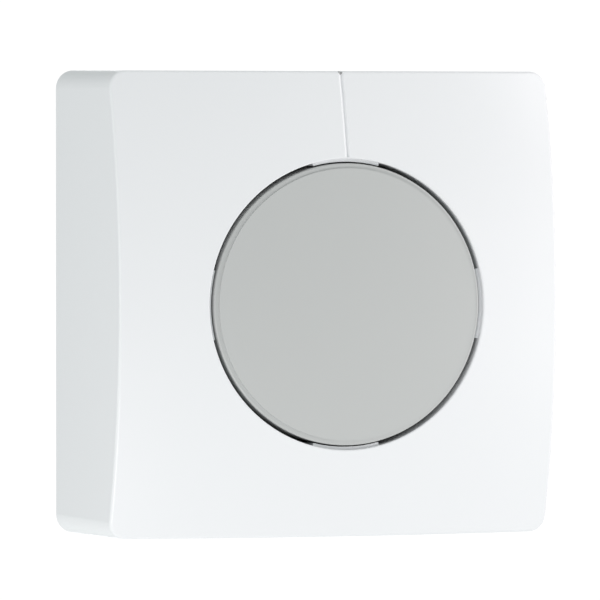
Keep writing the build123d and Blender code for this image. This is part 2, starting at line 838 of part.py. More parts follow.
export_step(terminal_housing.part, "parts/terminal_housing.step")

with BuildPart() as wire_clamps:
    with BuildSketch(facing_front(power_board_front + terminal_floor, z=terminal_z)):
        with Locations(*pole_places):
            Rectangle(cage_width, cage_length)
    extrude(amount=cage_height)
    with BuildSketch(facing_down(terminal_z + cage_length, depth=power_board_front + wire_hole_height)):
        with Locations(*pole_places):
            Rectangle(cage_window, cage_window)
    extrude(amount=2 * cage_length, mode=Mode.SUBTRACT)
    with BuildSketch(facing_front(power_board_front + wire_hole_height, z=terminal_z)):
        with Locations(*pole_places):
            Circle(clamp_screw_radius + clamp_clearance)
    extrude(amount=cage_height, mode=Mode.SUBTRACT)
wire_clamps.part.label = "wire_clamps"
export_step(wire_clamps.part, "parts/wire_clamps.step")

with BuildPart() as clamp_screws:
    clamp_head_base = power_board_front + terminal_floor + cage_height + cage_clearance
    with BuildSketch(facing_front(clamp_head_base, z=terminal_z)):
        with Locations(*pole_places):
            Circle(clamp_head_radius)
    extrude(amount=clamp_head_height)
    with BuildSketch(facing_front(clamp_head_base, z=terminal_z)):
        with Locations(*pole_places):
            Circle(clamp_screw_radius)
    extrude(amount=-(clamp_screw_length - clamp_head_height))
    with BuildSketch(facing_front(clamp_head_base + clamp_head_height / 2, z=terminal_z)):
        with Locations(*pole_places):
            Rectangle(2 * clamp_head_radius, screw_slot_width)
    extrude(amount=clamp_head_height, mode=Mode.SUBTRACT)
clamp_screws.part.label = "clamp_screws"
export_step(clamp_screws.part, "parts/clamp_screws.step")

# Relay, lying along X on the power board in its own case
relay_x = -power_half + row_edge_gap + relay_length / 2
relay_z = board_step + part_gap + relay_width / 2
coil_depth = power_board_front + coil_height
foot_depth = power_board_front + relay_foot
yoke_top = power_board_front + relay_height - relay_wall - yoke_case_gap
yoke_left = relay_x - relay_length / 2 + relay_wall + relay_end_gap
bobbin_left = yoke_left + yoke_wall
bobbin_length = coil_length + 2 * bobbin_wall
core_end = bobbin_left + bobbin_length
pole_face_x = core_end + pole_wall
armature_x = pole_face_x + air_gap
hinge_x = armature_x + armature_wall / 2
hinge_depth = yoke_top - armature_wall / 2

with BuildPart() as relay_case:
    with BuildSketch(facing_front(power_board_front, relay_x, relay_z)):
        Rectangle(relay_length, relay_width)
    extrude(amount=relay_height)
    fillet(relay_case.faces().sort_by(Axis.Y)[0].edges(), small_fillet)
    with BuildSketch(facing_front(power_board_front, relay_x, relay_z)):
        Rectangle(relay_length - 2 * relay_wall, relay_width - 2 * relay_wall)
    extrude(amount=relay_height - relay_wall, mode=Mode.SUBTRACT)
relay_case.part.label = "relay_case"
export_step(relay_case.part, "parts/relay_case.step")

with BuildPart() as relay_base:
    with BuildSketch(facing_front(power_board_front, relay_x, relay_z)):
        Rectangle(
            relay_length - 2 * (relay_wall + relay_foot_clearance),
            relay_width - 2 * (relay_wall + relay_foot_clearance),
        )
    extrude(amount=relay_foot)
    # Two rests under the bobbin's flanges
    rest_top = coil_depth - bobbin_tube_radius - bobbin_rest_gap
    with BuildSketch(facing_front(foot_depth, z=relay_z)):
        with Locations((bobbin_left + bobbin_wall / 2, 0), (core_end - bobbin_wall / 2, 0)):
            Rectangle(bobbin_wall, yoke_width / 2)
    extrude(amount=rest_top - foot_depth)
relay_base.part.label = "relay_base"
export_step(relay_base.part, "parts/relay_base.step")

section_across_relay = Plane(
    origin=(bobbin_left, -coil_depth, relay_z), x_dir=(0, 0, 1), z_dir=(1, 0, 0)
)
with BuildPart() as relay_bobbin:
    flange_top = yoke_top - yoke_wall - coil_depth
    flange_low = rest_top - coil_depth
    with BuildSketch(section_across_relay):
        with Locations((0, (flange_top + flange_low) / 2)):
            Rectangle(yoke_width, flange_top - flange_low)
    extrude(amount=bobbin_wall)
    with BuildSketch(section_across_relay.offset(bobbin_length - bobbin_wall)):
        with Locations((0, (flange_top + flange_low) / 2)):
            Rectangle(yoke_width, flange_top - flange_low)
    extrude(amount=bobbin_wall)
    with BuildSketch(section_across_relay):
        Circle(bobbin_tube_radius)
    extrude(amount=bobbin_length)
    with BuildSketch(section_across_relay):
        Circle(core_radius + core_clearance)
    extrude(amount=bobbin_length, mode=Mode.SUBTRACT)
relay_bobbin.part.label = "relay_bobbin"
export_step(relay_bobbin.part, "parts/relay_bobbin.step")

with BuildPart() as relay_coil:
    with BuildSketch(section_across_relay.offset(bobbin_wall)):
        Circle(coil_radius)
        Circle(bobbin_tube_radius + core_clearance, mode=Mode.SUBTRACT)
    extrude(amount=coil_length)
relay_coil.part.label = "relay_coil"
export_step(relay_coil.part, "parts/relay_coil.step")

with BuildPart() as relay_core:
    with BuildSketch(section_across_relay.offset(-yoke_wall)):
        Circle(core_radius)
    extrude(amount=bobbin_length + yoke_wall)
    with BuildSketch(section_across_relay.offset(bobbin_length)):
        Circle(pole_radius)
    extrude(amount=pole_wall)
relay_core.part.label = "relay_core"
export_step(relay_core.part, "parts/relay_core.step")

with BuildPart() as relay_yoke:
    with BuildSketch(facing_down(relay_z + yoke_width / 2)):
        with BuildLine():
            Polyline(
                (yoke_left, rest_top),
                (yoke_left, yoke_top),
                (armature_x - yoke_end_gap, yoke_top),
                (armature_x - yoke_end_gap, yoke_top - yoke_wall),
                (bobbin_left, yoke_top - yoke_wall),
                (bobbin_left, rest_top),
                close=True,
            )
        make_face()
    extrude(amount=yoke_width)
    with BuildSketch(section_across_relay.offset(-yoke_wall)):
        Circle(core_radius + core_clearance)
    extrude(amount=yoke_wall, mode=Mode.SUBTRACT)
relay_yoke.part.label = "relay_yoke"
export_step(relay_yoke.part, "parts/relay_yoke.step")

# Armature: hinged at the yoke's end, and pulled to the pole face when the coil is live
armature_low = rest_top + armature_low_gap
leaf_depth = power_board_front + coil_height - leaf_width / 2
with BuildPart() as relay_armature:
    with BuildSketch(facing_down(relay_z + armature_width / 2)):
        with Locations((hinge_x, (armature_low + hinge_depth) / 2)):
            Rectangle(armature_wall, hinge_depth - armature_low)
        with Locations((hinge_x, hinge_depth)):
            Circle(armature_wall / 2)
    extrude(amount=armature_width)
relay_armature.part.label = "relay_armature"
export_step(relay_armature.part, "parts/relay_armature.step")

# Contact leaf: a bent spring on the armature with the moving contact near its end
contact_x = armature_x + contact_arm
leaf_left = armature_x + armature_wall
with BuildPart() as relay_leaf:
    with BuildSketch(facing_down(relay_z + leaf_width / 2)):
        with BuildLine():
            Polyline(
                (leaf_left, leaf_depth),
                (leaf_left, leaf_depth + leaf_width),
                (leaf_left + leaf_wall, leaf_depth + leaf_width),
                (leaf_left + leaf_wall, leaf_depth + leaf_wall),
                (contact_x + contact_radius, leaf_depth + leaf_wall),
                (contact_x + contact_radius, leaf_depth),
                close=True,
            )
        make_face()
    extrude(amount=leaf_width)
    with BuildSketch(facing_front(leaf_depth, contact_x, relay_z)):
        Circle(contact_radius)
    extrude(amount=-contact_height)
relay_leaf.part.label = "relay_leaf"
export_step(relay_leaf.part, "parts/relay_leaf.step")

with BuildPart() as relay_fixed_contact:
    fixed_top = leaf_depth - contact_height - contact_gap
    with BuildSketch(facing_front(foot_depth, contact_x, relay_z)):
        Rectangle(2 * (contact_radius - contact_stem_inset), leaf_width)
    extrude(amount=fixed_top - contact_height - foot_depth)
    with BuildSketch(facing_front(fixed_top - contact_height, contact_x, relay_z)):
        Circle(contact_radius)
    extrude(amount=contact_height)
relay_fixed_contact.part.label = "relay_fixed_contact"
export_step(relay_fixed_contact.part, "parts/relay_fixed_contact.step")

# Lower row of power parts, from the relay to the right edge
row_z = relay_z
bulk_x = power_half - row_edge_gap - bulk_capacitor_radius
fuse_x = bulk_x - bulk_capacitor_radius - part_gap - fuse_radius
rectifier_x = fuse_x - fuse_radius - part_gap - rectifier_size[0] / 2
small_x = relay_x + relay_length / 2 + part_gap + small_capacitor_radius

with BuildPart() as bulk_capacitor:
    with BuildSketch(facing_front(power_board_front, bulk_x, row_z)):
        Circle(bulk_capacitor_radius)
    extrude(amount=bulk_capacitor_height)
    fillet(bulk_capacitor.faces().sort_by(Axis.Y)[0].edges(), small_fillet)
    with BuildSketch(facing_front(power_board_front + bulk_capacitor_height - vent_depth, bulk_x, row_z)):
        Rectangle(bulk_capacitor_radius, vent_width)
        Rectangle(vent_width, bulk_capacitor_radius)
    extrude(amount=2 * vent_depth, mode=Mode.SUBTRACT)
bulk_capacitor.part.label = "bulk_capacitor"
export_step(bulk_capacitor.part, "parts/bulk_capacitor.step")

with BuildPart() as small_capacitor:
    with BuildSketch(facing_front(power_board_front, small_x, row_z)):
        Circle(small_capacitor_radius)
    extrude(amount=small_capacitor_height)
    fillet(small_capacitor.faces().sort_by(Axis.Y)[0].edges(), small_fillet)
small_capacitor.part.label = "small_capacitor"
export_step(small_capacitor.part, "parts/small_capacitor.step")

with BuildPart() as fuse:
    with BuildSketch(facing_front(power_board_front, fuse_x, row_z)):
        Circle(fuse_radius)
    extrude(amount=fuse_height)
    chamfer(fuse.faces().sort_by(Axis.Y)[0].edges(), small_fillet)
fuse.part.label = "fuse"
export_step(fuse.part, "parts/fuse.step")

with BuildPart() as rectifier:
    with BuildSketch(facing_front(power_board_front, rectifier_x, row_z)):
        Rectangle(rectifier_size[0], rectifier_size[1])
    extrude(amount=rectifier_size[2])
    chamfer(rectifier.faces().sort_by(Axis.Y)[0].edges(), rectifier_chamfer)
rectifier.part.label = "rectifier"
export_step(rectifier.part, "parts/rectifier.step")

# Upper row of power parts, between the corner screws
top_z = power_half - row_edge_gap - transformer_length / 2
transformer_x = -power_half + corner_room + transformer_width / 2
film_x = transformer_x + transformer_width / 2 + part_gap + film_capacitor_size[0] / 2
varistor_x = power_half - corner_room - varistor_radius
choke_x = varistor_x - varistor_radius - part_gap - choke_radius

with BuildPart() as transformer_core:
    core_base = power_board_front + transformer_foot
    core_height = transformer_height - transformer_foot
    window_width = (transformer_width - transformer_leg) / 2 - transformer_side
    window_height = core_height - 2 * transformer_side
    with BuildSketch(facing_down(top_z + transformer_core_length / 2, transformer_x, core_base)):
        with Locations((0, core_height / 2)):
            Rectangle(transformer_width, core_height)
            with GridLocations(transformer_leg + window_width, 0, 2, 1):
                Rectangle(window_width, window_height, mode=Mode.SUBTRACT)
    extrude(amount=transformer_core_length)
transformer_core.part.label = "transformer_core"
export_step(transformer_core.part, "parts/transformer_core.step")

with BuildPart() as transformer_winding:
    with BuildSketch(facing_front(power_board_front, transformer_x, top_z)):
        Rectangle(transformer_width, transformer_length)
    extrude(amount=core_base - power_board_front)
    winding_base = core_base + transformer_side + transformer_clearance
    winding_width = transformer_leg + 2 * (window_width - transformer_clearance)
    with BuildSketch(facing_front(winding_base, transformer_x, top_z)):
        RectangleRounded(
            winding_width, transformer_length - 2 * winding_end_inset, winding_corner_radius
        )
        Rectangle(
            transformer_leg + 2 * transformer_clearance,
            transformer_core_length + 2 * transformer_clearance,
            mode=Mode.SUBTRACT,
        )
    extrude(amount=window_height - 2 * transformer_clearance)
    # Posts at the two ends that carry the winding beside the core
    with BuildSketch(facing_front(core_base, transformer_x, top_z)):
        with GridLocations(0, transformer_length - 2 * winding_post_length, 1, 2):
            Rectangle(transformer_leg, winding_post_length)
    extrude(amount=winding_base - core_base)
transformer_winding.part.label = "transformer_winding"
export_step(transformer_winding.part, "parts/transformer_winding.step")

with BuildPart() as film_capacitor:
    with BuildSketch(facing_front(power_board_front, film_x, top_z)):
        Rectangle(film_capacitor_size[0], film_capacitor_size[1])
    extrude(amount=film_capacitor_size[2])
    fillet(film_capacitor.edges().filter_by(Axis.Y), small_fillet)
    fillet(film_capacitor.faces().sort_by(Axis.Y)[0].edges(), small_fillet)
film_capacitor.part.label = "film_capacitor"
export_step(film_capacitor.part, "parts/film_capacitor.step")

with BuildPart() as varistor:
    disc_depth = power_board_front + lead_length + varistor_radius
    with BuildSketch(facing_down(top_z + varistor_wall / 2, varistor_x, disc_depth)):
        Circle(varistor_radius)
    extrude(amount=varistor_wall)
    fillet(varistor.edges().filter_by(GeomType.CIRCLE), varistor_fillet)
    with BuildSketch(facing_front(power_board_front, varistor_x, top_z)):
        with GridLocations(varistor_radius, 0, 2, 1):
            Circle(lead_radius)
    extrude(amount=lead_length + varistor_radius / 2)
varistor.part.label = "varistor"
export_step(varistor.part, "parts/varistor.step")

with BuildPart() as choke:
    with BuildSketch(facing_front(power_board_front, choke_x, top_z)):
        Circle(choke_radius)
    extrude(amount=choke_height)
    with BuildSketch(facing_front(power_board_front + choke_flange, choke_x, top_z)):
        Circle(choke_radius)
        Circle(choke_radius - choke_groove, mode=Mode.SUBTRACT)
    extrude(amount=choke_height - 2 * choke_flange, mode=Mode.SUBTRACT)
choke.part.label = "choke"
export_step(choke.part, "parts/choke.step")

# Socket on the power board, and the pin strip of the logic board that plugs into it
with BuildPart() as board_socket:
    with BuildSketch(facing_front(power_board_front, z=header_z)):
        Rectangle(pin_count * pin_pitch, strip_width)
    extrude(amount=socket_height)
    with BuildSketch(facing_front(power_board_front + socket_floor, z=header_z)):
        with GridLocations(pin_pitch, 0, pin_count, 1):
            Rectangle(pin_side + 2 * pin_clearance, pin_side + 2 * pin_clearance)
    extrude(amount=socket_height, mode=Mode.SUBTRACT)
board_socket.part.label = "board_socket"
export_step(board_socket.part, "parts/board_socket.step")

with BuildPart() as pin_strip:
    with BuildSketch(facing_front(logic_board_back, z=header_z)):
        Rectangle(pin_count * pin_pitch, strip_width)
        with GridLocations(pin_pitch, 0, pin_count, 1):
            Rectangle(
                pin_side + 2 * strip_pin_clearance, pin_side + 2 * strip_pin_clearance, mode=Mode.SUBTRACT
            )
    extrude(amount=-strip_height)
pin_strip.part.label = "pin_strip"
export_step(pin_strip.part, "parts/pin_strip.step")

with BuildPart() as connector_pins:
    with BuildSketch(facing_front(pin_tip_depth, z=header_z)):
        with GridLocations(pin_pitch, 0, pin_count, 1):
            Rectangle(pin_side, pin_side)
    extrude(amount=logic_board_front + pin_solder_length - pin_tip_depth)
connector_pins.part.label = "connector_pins"
export_step(connector_pins.part, "parts/connector_pins.step")

# Light sensor, status lamp, controller and the two light guides
with BuildPart() as light_sensor:
    with BuildSketch(facing_front(logic_board_front)):
        Rectangle(sensor_size[0], sensor_size[1])
    extrude(amount=sensor_size[2])
    with BuildSketch(facing_front(logic_board_front + sensor_size[2])):
        Circle(sensor_window_radius)
    extrude(amount=sensor_window_height)
light_sensor.part.label = "light_sensor"
export_step(light_sensor.part, "parts/light_sensor.step")

with BuildPart() as status_lamp:
    with BuildSketch(facing_front(logic_board_front, z=lamp_height)):
        Rectangle(lamp_size[0], lamp_size[1])
    extrude(amount=lamp_size[2])
status_lamp.part.label = "status_lamp"
export_step(status_lamp.part, "parts/status_lamp.step")

with BuildPart() as controller:
    with BuildSketch(facing_front(logic_board_front, controller_place[0], controller_place[1])):
        Rectangle(controller_side, controller_side)
    extrude(amount=controller_height)
    chamfer(controller.faces().sort_by(Axis.Y)[0].edges(), controller_chamfer)
controller.part.label = "controller"
export_step(controller.part, "parts/controller.step")

with BuildPart() as sensor_light_guide:
    guide_start = logic_board_front + sensor_size[2] + sensor_window_height + guide_end_gap
    with BuildSketch(facing_front(guide_start)):
        Circle(guide_radius)
    extrude(amount=turret_front - guide_start)
    with BuildSketch(facing_front(turret_front)):
        Circle(guide_flange_radius)
    extrude(amount=guide_flange_height)
    with BuildSketch(facing_front(turret_front)):
        Circle(guide_radius)
    extrude(amount=dome_depth(guide_radius, lens_wall) - guide_lens_gap - turret_front)
sensor_light_guide.part.label = "sensor_light_guide"
export_step(sensor_light_guide.part, "parts/sensor_light_guide.step")

with BuildPart() as lamp_light_guide:
    lamp_guide_start = logic_board_front + lamp_size[2] + guide_end_gap
    with BuildSketch(facing_front(lamp_guide_start, z=lamp_height)):
        Circle(lamp_guide_radius)
    extrude(amount=turret_front - lamp_guide_start)
    with BuildSketch(facing_front(turret_front, z=lamp_height)):
        Circle(lamp_guide_radius + lamp_flange_width)
    extrude(amount=guide_flange_height)
lamp_light_guide.part.label = "lamp_light_guide"
export_step(lamp_light_guide.part, "parts/lamp_light_guide.step")

# Potentiometers and dials: brightness threshold on the left, switch-off time on the right
rotor_base = logic_board_front + pot_floor
rotor_top = logic_board_front + pot_height + rotor_rise
dial_base = lid_front + dial_lid_gap
for setting, dial_place_x in (("threshold", -dial_x), ("time", dial_x)):
    with BuildPart() as potentiometer:
        with BuildSketch(facing_front(logic_board_front, dial_place_x, dial_z)):
            RectangleRounded(pot_side, pot_side, small_fillet)
        extrude(amount=pot_height)
        with BuildSketch(facing_front(rotor_base, dial_place_x, dial_z)):
            Circle(rotor_radius + rotor_clearance)
        extrude(amount=pot_height, mode=Mode.SUBTRACT)
    potentiometer.part.label = f"{setting}_potentiometer"
    export_step(potentiometer.part, f"parts/{setting}_potentiometer.step")

    with BuildPart() as rotor:
        with BuildSketch(facing_front(rotor_base, dial_place_x, dial_z)):
            Circle(rotor_radius)
        extrude(amount=rotor_top - rotor_base)
        with BuildSketch(facing_front(rotor_top, dial_place_x, dial_z)):
            Rectangle(key_width + 2 * key_clearance, key_length + 2 * key_clearance)
        extrude(amount=-(key_depth + key_clearance), mode=Mode.SUBTRACT)
    rotor.part.label = f"{setting}_rotor"
    export_step(rotor.part, f"parts/{setting}_rotor.step")

    with BuildPart() as dial:
        with BuildSketch(facing_front(rotor_top, dial_place_x, dial_z)):
            Circle(dial_shaft_radius)
        extrude(amount=dial_base - rotor_top)
        with BuildSketch(facing_front(rotor_top, dial_place_x, dial_z)):
            Rectangle(key_width, key_length)
        extrude(amount=-key_depth)
        with BuildSketch(facing_front(dial_base, dial_place_x, dial_z)):
            Circle(dial_radius)
            with PolarLocations(dial_radius, flute_count):
                Circle(flute_radius, mode=Mode.SUBTRACT)
        extrude(amount=dial_height)
        # Screwdriver slot, and a pointer mark that runs out to the rim
        with BuildSketch(facing_front(dial_base + dial_height - dial_slot_depth, dial_place_x, dial_z)):
            Rectangle(dial_slot_width, 2 * dial_shaft_radius)
        extrude(amount=dial_slot_depth, mode=Mode.SUBTRACT)
        with BuildSketch(facing_front(dial_base + dial_height - dial_slot_depth / 2, dial_place_x, dial_z)):
            with Locations((0, dial_radius - pointer_length / 2)):
                Rectangle(dial_slot_width / 2, pointer_length)
        extrude(amount=dial_slot_depth, mode=Mode.SUBTRACT)
    dial.part.label = f"{setting}_dial"
    export_step(dial.part, f"parts/{setting}_dial.step")

# Slide switch: its body and four sliders that travel along X
slider_rest = -(dip_slot_length / 2 - dip_clearance - slider_length / 2)
slider_places = [(dip_count - 1) / 2 * dip_pitch - slider * dip_pitch for slider in range(dip_count)]
with BuildPart() as dip_body:
    with BuildSketch(facing_front(logic_board_front, dip_x, dip_z)):
        Rectangle(dip_width, dip_length)
    extrude(amount=dip_height)
    with BuildSketch(facing_front(logic_board_front + dip_slot_floor, dip_x, dip_z)):
        with Locations(*[(0, place) for place in slider_places]):
            Rectangle(dip_slot_length, dip_slot_width)
    extrude(amount=dip_height, mode=Mode.SUBTRACT)
dip_body.part.label = "dip_body"
export_step(dip_body.part, "parts/dip_body.step")

for number, place in enumerate(slider_places, start=1):
    slider_base = logic_board_front + dip_slot_floor + dip_clearance
    with BuildPart() as slider:
        with BuildSketch(facing_front(slider_base, dip_x + slider_rest, dip_z + place)):
            Rectangle(slider_length, dip_slot_width - 2 * dip_clearance)
        extrude(amount=slider_height)
    slider.part.label = f"dip_slider_{number}"
    export_step(slider.part, f"parts/dip_slider_{number}.step")
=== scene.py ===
"""Looks of a surface-mounted twilight switch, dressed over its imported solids.

Lengths are metres in the frame of the solids, or millimetres where a name ends in mm: +X is right, +Z is
up, the front looks along -Y, and the origin is the centre of the rear face. A depth is a distance in front
of the wall.
"""
import json
import logging
import math
from dataclasses import dataclass
from enum import Enum

import bmesh
import bpy
import numpy as np
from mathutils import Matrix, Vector


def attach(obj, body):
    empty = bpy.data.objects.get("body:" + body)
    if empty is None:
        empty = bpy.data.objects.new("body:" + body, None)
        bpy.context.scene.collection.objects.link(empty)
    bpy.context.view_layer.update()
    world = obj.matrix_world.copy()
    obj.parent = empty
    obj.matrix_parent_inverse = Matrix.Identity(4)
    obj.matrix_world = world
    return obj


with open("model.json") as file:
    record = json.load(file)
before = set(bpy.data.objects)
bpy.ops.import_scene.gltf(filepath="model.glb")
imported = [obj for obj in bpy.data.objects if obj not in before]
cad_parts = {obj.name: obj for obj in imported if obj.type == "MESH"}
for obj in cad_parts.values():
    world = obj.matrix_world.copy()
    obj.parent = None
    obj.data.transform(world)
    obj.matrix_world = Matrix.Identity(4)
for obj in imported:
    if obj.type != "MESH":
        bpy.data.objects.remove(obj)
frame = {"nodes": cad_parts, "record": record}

LOG = logging.getLogger("twilight_switch")
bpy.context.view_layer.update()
MM = 0.001
MERGE_DISTANCE = 0.001 * MM
SHARP_DEG = 35.0
ROUND_SHARP_DEG = 60.0

Socket = bpy.types.NodeSocket
Colour = tuple[float, float, float]
Place = tuple[float, float, float]
Pair = tuple[float, float]


class Body(Enum):
    """The rigid bodies that the scene's pieces ride on."""

    BASE = "base"
    SENSOR_UNIT = "sensor_unit"


class Axis(Enum):
    """The axes that a pattern can follow."""

    X = "X"
    Y = "Y"
    Z = "Z"


class Grain(Enum):
    """Kinds of surface relief: the noise scale per metre and its height in metres."""

    SATIN = (5200.0, 0.0000016)
    SPARKED = (2600.0, 0.0000060)
    SOFT = (1500.0, 0.0000090)
    POLISHED = (900.0, 0.0000008)
    CAST = (1900.0, 0.0000120)

    @property
    def scale(self) -> float:
        """Noise cells per metre."""
        return self.value[0]

    @property
    def height(self) -> float:
        """Height of the relief in metres."""
        return self.value[1]


class TrackSet(Enum):
    """The random choices on a board, each with a number that tells it from the others."""

    LEVEL = 1.0
    UPRIGHT = 2.0
    ZONES = 3.0


class NodeTree:
    """A node tree that is filled one node at a time."""

    def __init__(self, tree: bpy.types.NodeTree) -> None:
        """Empties the tree.

        Args:
            tree: The tree of a material or of the world.
        """
        self.tree = tree
        self.tree.nodes.clear()

    def add(self, kind: str, **settings: object) -> bpy.types.Node:
        """Adds a node.

        Args:
            kind: Blender's name for the node's type.
            settings: Properties to set on it.

        Returns:
            The new node.
        """
        node = self.tree.nodes.new(kind)
        for key, value in settings.items():
            setattr(node, key, value)
        return node

    def link(self, source: Socket, target: Socket) -> None:
        """Joins an output socket to an input socket."""
        self.tree.links.new(source, target)

    def value(self, kind: str, output: str | int, inputs: dict[str | int, object],
              **settings: object) -> Socket:
        """Adds a node, fills its inputs and gives one of its outputs.

        Args:
            kind: Blender's name for the node's type.
            output: The output's name or number.
            inputs: What goes into each named or numbered input: a socket, a number, a vector or a colour.
            settings: Properties to set on the node.

        Returns:
            The output.
        """
        node = self.add(kind, **settings)
        for key, value in inputs.items():
            socket = node.inputs[key]
            if isinstance(value, Socket):
                self.link(value, socket)
            else:
                socket.default_value = (*value, 1.0) if socket.type == "RGBA" else value
        return node.outputs[output]


class NodeSheet(NodeTree):
    """A material's node tree around one Principled shader."""

    def __init__(self, name: str) -> None:
        """Starts the material.

        Args:
            name: The material's name.
        """
        self.material = bpy.data.materials.new(name)
        self.material.use_nodes = True
        super().__init__(self.material.node_tree)
        self.output = self.add("ShaderNodeOutputMaterial")
        self.shader = self.add("ShaderNodeBsdfPrincipled")
        self.link(self.shader.outputs["BSDF"], self.output.inputs["Surface"])
        self.place = self.value("ShaderNodeTexCoord", "Object", {})

    def set(self, **values: object) -> None:
        """Sets the shader's own sockets. An underscore in a key stands for a space."""
        for key, value in values.items():
            self.shader.inputs[key.replace("_", " ")].default_value = value

    def moved(self, place: Place, scale: Place = (1, 1, 1)) -> Socket:
        """Object coordinates seen from a point in metres, with the pattern's axes stretched by the scale."""
        return self.value("ShaderNodeMapping", "Vector", {
            "Vector": self.place, "Location": place, "Scale": scale}, vector_type="TEXTURE")

    def noise(self, scale: float, detail: float = 2.0, rough: float = 0.5,
              place: Socket | None = None) -> Socket:
        """Cloudy noise from 0 to 1.

        Args:
            scale: Cells per metre.
            detail: Octaves.
            rough: Share of each finer octave.
            place: Coordinates, or None for Object coordinates.

        Returns:
            The noise factor.
        """
        return self.value("ShaderNodeTexNoise", "Fac", {
            "Scale": scale, "Detail": detail, "Roughness": rough, "Vector": place or self.place})

    def cells(self, scale: float) -> Socket:
        """Distance from the nearest of scattered points, at a scale in cells per metre."""
        return self.value("ShaderNodeTexVoronoi", "Distance", {"Scale": scale, "Vector": self.place})

    def bands(self, scale: float, axis: Axis, wobble: float = 0.0) -> Socket:
        """Sine bands from 0 to 1 across one axis.

        Args:
            scale: Bands per metre, times about a third.
            axis: The axis that they cross.
            wobble: Distortion of the bands.

        Returns:
            The band factor.
        """
        return self.value("ShaderNodeTexWave", "Fac", {
            "Scale": scale, "Distortion": wobble, "Vector": self.place},
            wave_type="BANDS", bands_direction=axis.value)

    def remap(self, value: Socket, source: Pair, target: Pair) -> Socket:
        """Carries a value from one span to another, clamped.

        Args:
            value: The value.
            source: Its span.
            target: The new span.

        Returns:
            The new value.
        """
        return self.value("ShaderNodeMapRange", "Result", {
            "Value": value, "From Min": source[0], "From Max": source[1], "To Min": target[0],
            "To Max": target[1]})

    def math(self, operation: str, first: object, second: object = 0.0) -> Socket:
        """One step of arithmetic, by Blender's name for it, on sockets or numbers."""
        return self.value("ShaderNodeMath", "Value", {0: first, 1: second}, operation=operation)

    def chance(self, first: object, second: object, third: object = 0.0) -> Socket:
        """One random number from 0 to 1 for each set of whole numbers, given as sockets or numbers."""
        key = self.value("ShaderNodeCombineXYZ", "Vector", {0: first, 1: second, 2: third})
        return self.value("ShaderNodeTexWhiteNoise", "Value", {"Vector": key})

    def along(self, axis: Axis, place: Socket | None = None) -> Socket:
        """One coordinate of a place, or of Object coordinates."""
        return self.value("ShaderNodeSeparateXYZ", axis.value, {"Vector": place or self.place})

    def mix(self, factor: Socket, first: object, second: object) -> Socket:
        """A colour between two colours or sockets: the first at factor 0, the second at 1."""
        return self.value("ShaderNodeMix", 2, {0: factor, 6: first, 7: second}, data_type="RGBA")

    def bump(self, height: Socket, distance: float, under: Socket | None = None) -> Socket:
        """A normal that follows a height.

        Args:
            height: The height factor.
            distance: Metres for a height of 1.
            under: A normal that this one adds to.

        Returns:
            The normal.
        """
        inputs = {"Strength": 1.0, "Distance": distance, "Height": height}
        if under is not None:
            inputs["Normal"] = under
        return self.value("ShaderNodeBump", "Normal", inputs)

    def finish(self, colour: Socket, roughness: Socket | None = None, normal: Socket | None = None,
               metallic: Socket | None = None) -> bpy.types.Material:
        """Links what varies over the surface to the shader.

        Args:
            colour: A colour socket.
            roughness: A roughness socket.
            normal: A normal socket.
            metallic: A metallic socket.

        Returns:
            The finished material.
        """
        for key, socket in (("Base Color", colour), ("Roughness", roughness), ("Normal", normal),
                            ("Metallic", metallic)):
            if socket is not None:
                self.link(socket, self.shader.inputs[key])
        return self.material

    def one_sided(self) -> None:
        """Clears the surface's underside, so that the object can be seen from below."""
        behind = self.value("ShaderNodeNewGeometry", "Backfacing", {})
        clear = self.value("ShaderNodeBsdfTransparent", "BSDF", {})
        blend = self.value("ShaderNodeMixShader", "Shader", {
            0: behind, 1: self.shader.outputs["BSDF"], 2: clear})
        self.link(blend, self.output.inputs["Surface"])


def shade(colour: Colour, factor: float) -> Colour:
    """A colour made lighter or darker by a factor."""
    return tuple(min(1.0, part * factor) for part in colour)


@dataclass(frozen=True)
class Moulded:
    """Injection-moulded plastic: even colour with faint clouding, and a fine relief from the mould."""

    name: str
    colour: Colour
    roughness: float = 0.5
    grain: Grain = Grain.SPARKED
    clouding: float = 0.03
    coat: float = 0.0
    ior: float = 1.49
    cloud_scale: float = 90.0
    wear_scale: float = 420.0
    wear: float = 0.07
    coarse_scale: float = 0.37
    coarse_height: float = 0.8

    def material(self) -> bpy.types.Material:
        """Clouded colour, patches of wear in the roughness, and fine noise over coarser cells as relief.

        Returns:
            The material.
        """
        sheet = NodeSheet(self.name)
        sheet.set(IOR=self.ior, Coat_Weight=self.coat, Coat_Roughness=0.2)
        rough = sheet.remap(sheet.noise(self.wear_scale, 3.0), (0.3, 0.7),
                            (self.roughness * (1 - self.wear), self.roughness * (1 + self.wear)))
        fine = sheet.bump(sheet.noise(self.grain.scale, 3.0, 0.6), self.grain.height)
        coarse = sheet.cells(self.grain.scale * self.coarse_scale)
        relief = sheet.bump(coarse, self.grain.height * self.coarse_height, fine)
        return sheet.finish(self.tint(sheet), rough, relief)

    def tint(self, sheet: NodeSheet) -> Socket:
        """The colour, a little darker and lighter in broad clouds."""
        cloud = sheet.noise(self.cloud_scale, 3.0)
        return sheet.mix(cloud, shade(self.colour, 1 - self.clouding), shade(self.colour, 1 + self.clouding))


